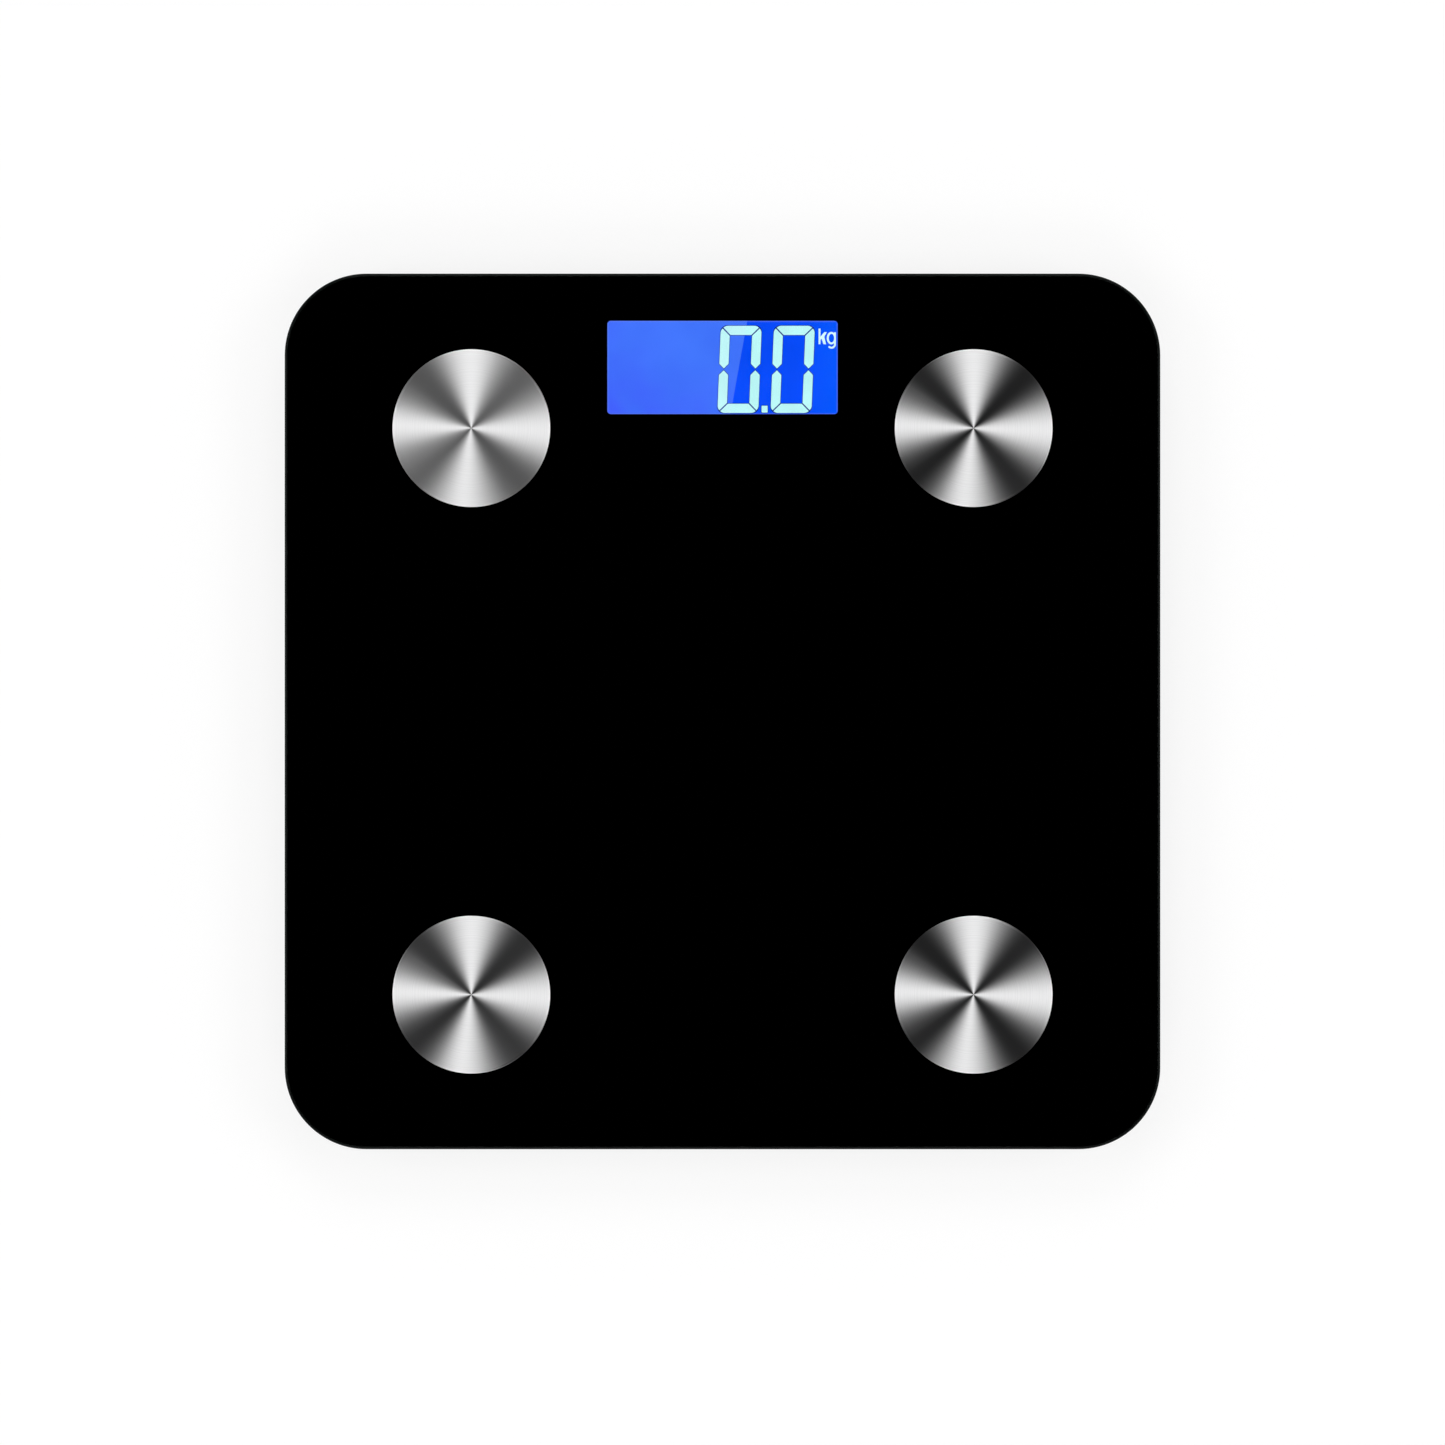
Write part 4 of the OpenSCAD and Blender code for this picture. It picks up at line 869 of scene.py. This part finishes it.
def lit_field(name, sizes):
    """Backlit field: soft clouds, a painted reflection that pales the left part and tints it violet
    low down, and a painted highlight along the rim.
    """
    recipe = Recipe(name)
    x, y, _ = recipe.axes()
    cloud = recipe.noise(22 * MM, detail=2.0)
    lift = recipe.span(cloud, 0.35, 0.65, 0.0, 1.0)
    leftness = recipe.span(x, -10 * MM, -40 * MM, 0.0, 0.4)
    lowness = recipe.span(y, 2 * MM, -16 * MM, 0.0, 0.6)
    patches = recipe.span(recipe.noise(12 * MM, detail=1.0), 0.3, 0.6, 0.35, 1.0)
    violet = recipe.maths("MULTIPLY", recipe.maths("ADD", leftness, lowness), patches)
    # Painted reflection: the paler colour of the left part, violet low down.
    in_painted_sheen = recipe.mix(lift, shade(sizes.painted_sheen_colour, 0.96), shade(sizes.painted_sheen_colour, 1.12))
    in_painted_sheen = recipe.mix(violet, in_painted_sheen, sizes.tint_colour)
    plain = recipe.mix(lift, shade(sizes.field_colour, 0.93), shade(sizes.field_colour, 1.05))
    right_end = recipe.span(x, 26 * MM, 38 * MM, 0.0, 0.8, smooth=True)
    plain = recipe.mix(right_end, plain, sizes.end_colour)
    colour = recipe.mix(painted_sheen(recipe), plain, in_painted_sheen)
    # Painted highlight along the window's edge.
    edges = [
        recipe.span(recipe.maths("ABSOLUTE", value), half - 0.5 * MM, half - 0.1 * MM, 0.0, 0.4)
        for value, half in ((x, sizes.window_width / 2), (y, sizes.window_height / 2))
    ]
    recipe.set(
        Base_Color=(0.0, 0.002, 0.02, 1.0),
        Roughness=recipe.spread(cloud, 0.12, 0.2),
        Emission_Color=recipe.mix(recipe.maths("MAXIMUM", *edges), colour, sizes.painted_rim_highlight_colour),
        Emission_Strength=GLOW,
    )
    return recipe.material


def lit_segment(name, plain, in_painted_sheen):
    recipe = Recipe(name)
    cloud = recipe.noise(9 * MM, detail=1.0)
    # Painted reflection over the segment in the paler left part.
    colour = recipe.mix(painted_sheen(recipe), plain, in_painted_sheen)
    colour = recipe.mix(recipe.span(cloud, 0.35, 0.65, 0.0, 0.3), colour, shade(plain, 0.8))
    recipe.set(
        Base_Color=(0.0, 0.01, 0.02, 1.0),
        Roughness=0.2,
        Emission_Color=colour,
        Emission_Strength=GLOW,
    )
    return recipe.material


def field_mesh(low, high, middle_y):
    """The front polariser's block, a little lower, with its upper edge taken off."""
    skin, rim = 0.08 * MM, 0.03 * MM
    corners = [(low.x, low.y), (high.x, low.y), (high.x, high.y), (low.x, high.y)]
    outline = [(x, y - middle_y) for x, y in corners]
    inset = [(x - math.copysign(rim, x), y - math.copysign(rim, y)) for x, y in outline]
    bm = bmesh.new()
    levels = [(outline, low.z - high.z), (outline, -skin - rim), (inset, -skin)]
    stack_rings(bm, [ring_of(bm, ring, z) for ring, z in levels])
    return finish_mesh(bm, "lit_field")


def segment_outlines(width, height, stroke, corner, mitre, tip_gap):
    """Outlines of a zero's six segments, round its middle. Corners are mitred and rounded."""
    half_w, half_h = width / 2, height / 2
    tip = stroke / 2
    left, inner = -half_w, -half_w + stroke
    round_x, round_y = left + corner, half_h - corner
    side = [(left + tip, tip_gap), (inner, tip_gap + tip), (inner, half_h - stroke - mitre)]
    rounding = ellipse_arc(round_x, round_y, corner, corner, 135, 180, HALF_CORNER_STEPS)
    side += [(x, y - mitre) for x, y in rounding[:-1]]
    side += [(left, half_h - corner - mitre), (left, tip_gap + tip)]
    rounding = ellipse_arc(round_x, round_y, corner, corner, 90, 135, HALF_CORNER_STEPS)
    top_left = [(inner + mitre, half_h - stroke)] + [(x + mitre, y) for x, y in reversed(rounding)]
    top = top_left + [(-x, y) for x, y in reversed(top_left)]
    upper = [side, [(-x, y) for x, y in reversed(side)], list(reversed(top))]
    return upper + [[(x, -y) for x, y in reversed(shape)] for shape in upper]


def leaning(outline, x, y, slant):
    """The outline moved to x, y and leaning to the right."""
    shear = math.tan(slant)
    return [(x + px + shear * py, y + py) for px, py in outline]


def digits_mesh(sizes, name, grow=0.0):
    """Two zeros and the point after them. Grown segments meet along their mitres."""
    bm = bmesh.new()
    shapes = segment_outlines(
        sizes.digit_width + 2 * grow,
        sizes.digit_height + 2 * grow,
        sizes.stroke + 2 * grow,
        DIGIT_CORNER + grow,
        SLIT if grow else sizes.mitre_gap / math.sqrt(2),
        TIP_GAP - math.sqrt(2) * grow,
    )
    for x in DIGITS_X:
        for shape in shapes:
            flat_shape(bm, leaning(shape, x, DIGITS_Y, sizes.slant), 0.0, PLATE)
    across, along = POINT_WIDTH + 2 * grow, POINT_HEIGHT + 2 * grow
    point = rounded_outline(across, along, POINT_CORNER + grow, POINT_CORNER_STEPS)
    flat_shape(bm, [(POINT_X + x, POINT_Y + y) for x, y in point], 0.0, PLATE)
    return finish_mesh(bm, name)


def holed_shape(bm, outline, hole, low, high):
    """Thin prism with a hole through it."""
    walls = [[ring_of(bm, ring, z) for z in (low, high)] for ring in (outline, hole)]
    join_rings(bm, walls[0][0], walls[0][1])
    join_rings(bm, walls[1][1], walls[1][0])
    cap_rings(bm, [walls[0][0], walls[1][0]], up=False)
    cap_rings(bm, [walls[0][1], walls[1][1]], up=True)


def letter_k(stroke):
    """Outline of a small k, in millimetres: a stem with an arm and a leg."""
    stem_top, arm_top = 5.35, 4.15
    arm_right, leg_left = 2.85, 1.68
    across = 1.38 * stroke
    leg = [(stroke, 1.42), (1.02, 1.86), (leg_left, 0), (leg_left + across, 0)]
    arm = [(1.95, 2.55), (arm_right, arm_top), (arm_right - across, arm_top), (stroke, 2.55)]
    return [(0, 0), (stroke, 0), *leg, *arm, (stroke, stem_top), (0, stem_top)]


def letter_g(stroke):
    """Outline of a small g with an open tail, in millimetres, and of the hole in its bowl."""
    bowl_x, bowl_y, bowl_w, bowl_h = 1.56, 2.1, 1.56, 2.14
    right, top = 3.14, 4.12
    tail_y, tail_w, tail_h, tail_end = 0.05, 1.5, 1.55, -142
    tail_x = right - tail_w
    tail_steps, bowl_steps, hole_steps = 14, 28, 24
    shape = [(right, top)]
    shape += ellipse_arc(tail_x, tail_y, tail_w, tail_h, 0, tail_end, tail_steps)
    shape += ellipse_arc(tail_x, tail_y, tail_w - stroke, tail_h - stroke, tail_end, 0, tail_steps)
    # The bowl starts and ends where it meets the stem.
    opening = math.degrees(math.acos((right - stroke - bowl_x) / bowl_w)) + 1
    shape += ellipse_arc(bowl_x, bowl_y, bowl_w, bowl_h, -opening, opening - 360, bowl_steps)
    shape += [(right - stroke, top)]
    hole_w, hole_h = bowl_w - stroke, bowl_h - stroke
    hole = ellipse_arc(bowl_x + 0.06, bowl_y, hole_w, hole_h, 0, 360, hole_steps)[:-1]
    return shape[::-1], hole


def lettered(outline, place):
    """A letter's outline at its place, in metres."""
    return [((place[0] + x) * MM, (place[1] + y) * MM) for x, y in outline]


def letters_mesh(sizes, name):
    """The unit's two letters, in plain strokes."""
    bm = bmesh.new()
    stroke = sizes.letter_stroke / MM
    flat_shape(bm, lettered(letter_k(stroke), K_PLACE), 0.0, PLATE)
    outline, hole = letter_g(stroke)
    holed_shape(bm, lettered(outline, G_PLACE), lettered(hole, G_PLACE), 0.0, PLATE)
    return finish_mesh(bm, name)


def striped_rubber(name):
    recipe = Recipe(name)
    stripe = recipe.node("ShaderNodeTexWave", bands_direction="X")
    stripe.inputs["Scale"].default_value = 1.0
    # The stripes come 0.26 mm apart.
    recipe.link(recipe.scaled((1200, 1200, 1200)), stripe.inputs["Vector"])
    tint = recipe.mix(stripe.outputs["Fac"], (0.75, 0.42, 0.46), (0.08, 0.07, 0.07))
    recipe.set(Base_Color=tint, Roughness=0.7)
    return recipe.material


class BATHSCALE_OT_display(bpy.types.Operator):
    """Builds the lit field, the digits and the unit letters, and finishes the parts under them"""

    bl_idname = "bathscale.display"
    bl_label = "Display"

    def execute(self, context):
        sizes = context.scene.bathscale_display
        low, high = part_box("front_polariser")
        add_piece(
            "lit_field",
            field_mesh(low, high, sizes.window_y),
            ROOT_BODY,
            place=(0, sizes.window_y, high.z),
            materials=(lit_field("lit_field", sizes),),
            replaced=("front_polariser",),
        )
        bright = lit_segment("lit_segment", sizes.digit_colour, sizes.digit_painted_sheen_colour)
        # Dark plate under the digits: painted shadow round each segment, also seen in the gaps
        # between segments.
        dark = lit_segment("segment_gap_and_painted_shadow", (0.0, 0.014, 0.22), (0.006, 0.03, 0.3))
        white = lit_segment("lit_letters", (0.7, 0.98, 1.0), (0.7, 0.98, 1.0))
        # Each mesh with its finish, and how far it lies below the digits.
        plates = (
            (digits_mesh(sizes, "digit_outlines", sizes.outline_width), dark, PLATE / 2),
            (digits_mesh(sizes, "digits"), bright, 0.0),
            (letters_mesh(sizes, "unit_letters"), white, PLATE / 2),
        )
        for mesh, finish, sunk in plates:
            place = (0, sizes.window_y, high.z - PLATE - sunk)
            add_piece(mesh.name, mesh, ROOT_BODY, place, materials=(finish,))
        dress(clear_glass("display_glass"), "display_cell")
        film = grained("polariser_film", (0.02, 0.03, 0.08), 0.25, depth=0.002 * MM)
        dress(film, "rear_polariser")
        dress(grained("frosted_guide", (0.84, 0.88, 0.95), 0.4, depth=0.01 * MM), "light_guide")
        white_plastic = grained("white_plastic", (0.82, 0.82, 0.8), 0.5)
        dress(white_plastic, "display_frame", "backlight_leds", "switch_plunger")
        dress(striped_rubber("striped_rubber"), "zebra_strip")
        return {"FINISHED"}


# ---------------------------------------------------------------- tray, door and button


class BATHSCALE_OT_tray(bpy.types.Operator):
    """Finishes the moulded tray, the battery door with its latch, and the unit button"""

    bl_idname = "bathscale.tray"
    bl_label = "Tray and Door"

    def execute(self, context):
        colours = context.scene.bathscale_case
        coarse = {"mottle": 0.3, "speckle": 0.6, "polish": 0.1}
        tray = grained(
            "moulded_black",
            colours.tray,
            0.52,
            grain=0.7 * MM,
            depth=0.06 * MM,
            worn=shade(colours.tray, 3.2),
            **coarse,
        )
        dress(tray, "base_tray", "door_latch")
        door = grained(
            "door_black",
            shade(colours.tray, 0.85),
            0.46,
            grain=0.6 * MM,
            depth=0.05 * MM,
            worn=shade(colours.tray, 3.0),
            **coarse,
        )
        dress(door, "battery_door")
        button = grained("button_grey", colours.button, 0.38, grain=0.3 * MM, depth=0.012 * MM)
        dress(button, "unit_button")
        return {"FINISHED"}


class BATHSCALE_OT_feet(bpy.types.Operator):
    """Finishes the four feet, their load cells and the sealed gauges"""

    bl_idname = "bathscale.feet"
    bl_label = "Feet and Load Cells"

    def execute(self, context):
        colours = context.scene.bathscale_case
        cap = grained(
            "foot_black",
            colours.foot,
            0.5,
            grain=0.6 * MM,
            depth=0.05 * MM,
            mottle=0.25,
            speckle=0.5,
            worn=shade(colours.foot, 2.6),
        )
        rubber = grained(
            "foot_rubber",
            colours.rubber,
            0.88,
            grain=0.7 * MM,
            depth=0.08 * MM,
            mottle=0.25,
            speckle=0.35,
            worn=(0.2, 0.2, 0.2),
        )
        steel = grained(
            "pressed_steel",
            (0.55, 0.56, 0.58),
            0.34,
            grain=0.2 * MM,
            depth=0.006 * MM,
            metallic=1.0,
            finer=(1, 14, 1),
        )
        for corner in CORNERS:
            dress(cap, "foot_cap_" + corner)
            dress(rubber, "foot_pad_" + corner)
            dress(steel, "load_cell_" + corner)
        sealant = grained(
            "white_sealant", (0.82, 0.82, 0.79), 0.55, grain=0.6 * MM, depth=0.08 * MM
        )
        dress(sealant, "strain_gauges")
        return {"FINISHED"}


# ---------------------------------------------------------------- power, board and leads


def printed_sleeve(name, node, nub_at_high_end):
    """Cell's sleeve: bare steel at both ends, a blue band by the nub and a pale grey body."""
    recipe = Recipe(name)
    low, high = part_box(node)
    length = high.y - low.y
    from_low, from_high = (1.0, 0.0) if nub_at_high_end else (0.0, 1.0)
    along = recipe.span(recipe.axes()[1], low.y, high.y, from_low, from_high)
    bare = (0.62, 0.62, 0.6, 1)
    ramp = recipe.node("ShaderNodeValToRGB")
    ramp.color_ramp.interpolation = "CONSTANT"
    stops = [
        (0.0, bare),
        (1.6 * MM / length, (0.03, 0.11, 0.3, 1)),
        (9 * MM / length, (0.86, 0.86, 0.86, 1)),
        (9.8 * MM / length, (0.5, 0.51, 0.53, 1)),
        (1 - 0.9 * MM / length, bare),
    ]
    elements = ramp.color_ramp.elements
    for i, (position, colour) in enumerate(stops):
        element = elements[i] if i < 2 else elements.new(position)
        element.position = position
        element.color = colour
    recipe.link(along, ramp.inputs[0])
    scratches = recipe.noise(1.2 * MM, detail=4.0, finer=(1, 0.15, 1))
    scratched = recipe.span(scratches, 0.5, 0.8, 0.0, 0.1)
    recipe.set(
        Base_Color=recipe.mix(scratched, ramp.outputs[0], (0.3, 0.3, 0.3)),
        Metallic=0.35,
        Roughness=recipe.spread(scratches, 0.22, 0.34),
        Normal=recipe.bump(scratches, 0.003 * MM),
    )
    return recipe.material


class BATHSCALE_OT_batteries(bpy.types.Operator):
    """Finishes the four cells with a plain printed sleeve"""

    bl_idname = "bathscale.batteries"
    bl_label = "Batteries"

    def execute(self, context):
        for i in range(1, 5):
            node = f"battery_{i}"
            dress(printed_sleeve(f"cell_sleeve_{i}", node, nub_at_high_end=i % 2 == 1), node)
        return {"FINISHED"}


def solder_mask(name, colour):
    """Circuit board: tracks that show faintly through the mask, over woven glass fibre."""
    recipe = Recipe(name)
    tracks = recipe.node("ShaderNodeTexBrick")
    tracks.inputs["Scale"].default_value = 1.0
    tracks.inputs["Mortar Size"].default_value = 0.08
    tracks.inputs["Color1"].default_value = (0, 0, 0, 1)
    tracks.inputs["Color2"].default_value = (0, 0, 0, 1)
    tracks.inputs["Mortar"].default_value = (1, 1, 1, 1)
    # The tracks run between bricks of 1.9 by 0.5 mm.
    recipe.link(recipe.scaled((260, 520, 1)), tracks.inputs["Vector"])
    weave = recipe.noise(0.8 * MM, detail=2.0)
    tint = recipe.mix(tracks.outputs["Color"], shade(colour, 0.75), shade(colour, 1.5))
    recipe.set(
        Base_Color=recipe.mix(recipe.spread(weave, 0.0, 0.25), tint, shade(colour, 0.5)),
        Roughness=recipe.spread(weave, 0.28, 0.4),
        Normal=recipe.bump(weave, 0.006 * MM),
    )
    return recipe.material


class BATHSCALE_OT_board(bpy.types.Operator):
    """Finishes the circuit board and the parts on it"""

    bl_idname = "bathscale.board"
    bl_label = "Circuit Board"

    def execute(self, context):
        dress(solder_mask("solder_mask_green", (0.02, 0.15, 0.07)), "main_board")
        dress(solder_mask("solder_mask_blue", (0.02, 0.06, 0.2)), "radio_module")
        resin = grained("sealing_resin", (0.012, 0.012, 0.012), 0.16, grain=1 * MM)
        dress(resin, "chip_cover", "switch_housing")
        chips = grained("chip_bodies", (0.11, 0.08, 0.06), 0.5, grain=0.2 * MM)
        dress(chips, "board_parts", "board_capacitors")
        solder = grained(
            "bright_solder",
            (0.68, 0.69, 0.7),
            0.22,
            grain=0.2 * MM,
            depth=0.01 * MM,
            metallic=1.0,
        )
        dress(solder, "solder_joints")
        return {"FINISHED"}


class BATHSCALE_OT_leads(bpy.types.Operator):
    """Finishes the insulated leads"""

    bl_idname = "bathscale.leads"
    bl_label = "Leads"

    def execute(self, context):
        insulation = {
            "red": ((0.5, 0.015, 0.012), ("sensor_leads_red", "battery_lead_red")),
            "white": ((0.78, 0.78, 0.75), ("sensor_leads_white",)),
            "black": ((0.014, 0.014, 0.014), ("sensor_leads_black", "battery_lead_black")),
            "yellow": ((0.7, 0.45, 0.02), ("electrode_leads",)),
        }
        for colour, (value, nodes) in insulation.items():
            dress(grained("insulation_" + colour, value, 0.36, depth=0.01 * MM), *nodes)
        return {"FINISHED"}


# ---------------------------------------------------------------- studio

# Direction of each lamp from the platform's middle.
LAMP_SIDES = {"rear": (0, 1), "left": (-1, 0), "right": (1, 0), "front": (0, -1)}
LAMP_DISTANCE = 1.3
LAMP_HEIGHT = 1.6
LAMP_SIZE = (1.2, 0.7)
# The floor turns from the shadow's ground to plain white between these distances.
SHADOW_REACH = 0.4
WHITE_FROM = 1.4
NEAR_GLOW = 0.72
FLOOR_GLOW = 1.07
FLOOR_REACH = 4.0
SENSOR_WIDTH = 36.0
# How many cards stand round the object, and how far each fades towards its sides.
CARDS = 4.0
CARD_FADE = 0.28


def studio_world(settings):
    """White to the camera. Metal and glass mirror four cards and a white horizon."""
    world = bpy.data.worlds.new("studio")
    bpy.context.scene.world = world
    sky = NodeBench(world, "Generated")
    x, y, z = sky.axes()
    # Angle from straight up.
    tilt = sky.maths("ARCCOSINE", z)

    def band(low, high, out_low, out_high):
        low, high = math.radians(low), math.radians(high)
        return sky.span(tilt, low, high, out_low, out_high, smooth=True)

    wave = sky.maths("COSINE", sky.maths("MULTIPLY", sky.maths("ARCTAN2", y, x), CARDS))
    card = sky.maths("MULTIPLY_ADD", wave, CARD_FADE, 1 - CARD_FADE)
    ring = sky.maths("MULTIPLY", band(9, 18, 0.0, 1.0), band(46, 60, 1.0, 0.0))
    cards = sky.maths("MULTIPLY", sky.maths("MULTIPLY", ring, card), settings.card_strength)
    mirrored = sky.maths("ADD", cards, band(56, 80, 0.0, 1.0))
    path = sky.node("ShaderNodeLightPath").outputs
    reflected = sky.maths("MAXIMUM", path["Is Glossy Ray"], path["Is Transmission Ray"])
    lighting = sky.blend(reflected, band(85, 95, settings.ambient, 1.0), mirrored)
    strength = sky.blend(path["Is Camera Ray"], lighting, 1.0)
    background = sky.node("ShaderNodeBackground")
    background.inputs["Color"].default_value = (1.0, 1.0, 1.0, 1.0)
    sky.feed(background.inputs["Strength"], strength)
    sky.link(background.outputs[0], sky.node("ShaderNodeOutputWorld").inputs[0])


def blend_shaders(recipe, factor, first, second):
    """Shader between the first, at 0, and the second, at 1."""
    made = recipe.node("ShaderNodeMixShader")
    for i, output in enumerate((factor, first, second)):
        recipe.link(output, made.inputs[i])
    return made.outputs[0]


def floor_material(name):
    """Pale floor that shows the object's shadow, and is plain white far off. From below, and to
    every ray but the camera's, it is clear."""
    recipe = Recipe(name)
    grain = recipe.noise(10 * MM)
    recipe.set(
        Base_Color=(0.9, 0.9, 0.9, 1.0),
        Roughness=recipe.spread(grain, 0.8, 0.9),
        Specular_IOR_Level=0.1,
    )
    glow = recipe.node("ShaderNodeEmission")
    glow.inputs["Strength"].default_value = FLOOR_GLOW
    distance = recipe.from_axis()
    far = recipe.span(distance, SHADOW_REACH, WHITE_FROM, NEAR_GLOW, 1.0, smooth=True)
    lit = blend_shaders(recipe, far, recipe.shader.outputs[0], glow.outputs[0])
    camera_ray = recipe.node("ShaderNodeLightPath").outputs["Is Camera Ray"]
    below = recipe.node("ShaderNodeNewGeometry").outputs["Backfacing"]
    shown = recipe.maths("MAXIMUM", recipe.maths("SUBTRACT", camera_ray, below), 0.0)
    clear = recipe.node("ShaderNodeBsdfTransparent")
    whole = blend_shaders(recipe, shown, clear.outputs[0], lit)
    recipe.link(whole, recipe.out.inputs["Surface"])
    return recipe.material


def add_lamp(name, place, power):
    """Soft lamp that points at the platform's middle."""
    lamp = bpy.data.lights.new(name, "AREA")
    lamp.shape = "RECTANGLE"
    lamp.size, lamp.size_y = LAMP_SIZE
    lamp.energy = power
    holder = bpy.data.objects.new(name, lamp)
    bpy.context.scene.collection.objects.link(holder)
    holder.location = place
    holder.rotation_euler = (-Vector(place)).to_track_quat("-Z", "Y").to_euler()


def add_camera(settings, target_z):
    """Camera that looks straight down, far enough off to see the wanted width."""
    camera = bpy.data.cameras.new("camera")
    camera.lens = settings.lens
    camera.sensor_width = SENSOR_WIDTH
    camera.clip_end = 50.0
    holder = bpy.data.objects.new("camera", camera)
    bpy.context.scene.collection.objects.link(holder)
    distance = settings.frame_width * camera.lens / camera.sensor_width
    holder.location = (0.0, settings.aim_y, target_z + distance)
    bpy.context.scene.camera = holder


class BATHSCALE_OT_studio(bpy.types.Operator):
    """Sets up the floor, lamps, background and camera"""

    bl_idname = "bathscale.studio"
    bl_label = "Studio"

    def execute(self, context):
        scene = context.scene
        settings = scene.bathscale_studio
        scene.view_settings.view_transform = "Standard"
        bm = bmesh.new()
        bmesh.ops.create_grid(bm, x_segments=8, y_segments=8, size=FLOOR_REACH)
        floor = bpy.data.objects.new("studio_floor", finish_mesh(bm, "studio_floor"))
        floor.data.materials.append(floor_material("studio_floor"))
        scene.collection.objects.link(floor)
        studio_world(settings)
        for side, (x, y) in LAMP_SIDES.items():
            place = (x * LAMP_DISTANCE, y * LAMP_DISTANCE, LAMP_HEIGHT)
            add_lamp("lamp_" + side, place, settings.lamp_power)
        add_camera(settings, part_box("glass_platform")[1].z)
        return {"FINISHED"}


# ---------------------------------------------------------------- panel and registration

PROPERTY_GROUPS = {
    "bathscale_platform": PlatformSizes,
    "bathscale_electrodes": ElectrodeSizes,
    "bathscale_display": DisplaySizes,
    "bathscale_case": CaseColours,
    "bathscale_studio": StudioSettings,
}
OPERATORS = (
    BATHSCALE_OT_platform,
    BATHSCALE_OT_electrodes,
    BATHSCALE_OT_display,
    BATHSCALE_OT_tray,
    BATHSCALE_OT_feet,
    BATHSCALE_OT_batteries,
    BATHSCALE_OT_board,
    BATHSCALE_OT_leads,
    BATHSCALE_OT_studio,
)


class BATHSCALE_PT_panel(bpy.types.Panel):
    """Lists the pieces with their sizes and colours"""

    bl_idname = "BATHSCALE_PT_panel"
    bl_label = "Bathroom Scale"
    bl_space_type = "VIEW_3D"
    bl_region_type = "UI"
    bl_category = "Bathroom Scale"

    def draw(self, context):
        for operator in OPERATORS:
            self.layout.operator(operator.bl_idname)
        for name, group in PROPERTY_GROUPS.items():
            box = self.layout.box()
            for key in group.__annotations__:
                box.prop(getattr(context.scene, name), key)


def register():
    for group in PROPERTY_GROUPS.values():
        bpy.utils.register_class(group)
    for name, group in PROPERTY_GROUPS.items():
        setattr(bpy.types.Scene, name, bpy.props.PointerProperty(type=group))
    for operator in OPERATORS:
        bpy.utils.register_class(operator)
    bpy.utils.register_class(BATHSCALE_PT_panel)


def unregister():
    bpy.utils.unregister_class(BATHSCALE_PT_panel)
    for operator in reversed(OPERATORS):
        bpy.utils.unregister_class(operator)
    for name in PROPERTY_GROUPS:
        delattr(bpy.types.Scene, name)
    for group in reversed(PROPERTY_GROUPS.values()):
        bpy.utils.unregister_class(group)


def main():
    register()
    bpy.ops.bathscale.studio()
    bpy.ops.bathscale.platform()
    bpy.ops.bathscale.electrodes()
    bpy.ops.bathscale.display()
    bpy.ops.bathscale.tray()
    bpy.ops.bathscale.feet()
    bpy.ops.bathscale.batteries()
    bpy.ops.bathscale.board()
    bpy.ops.bathscale.leads()


if __name__ == "__main__":
    main()
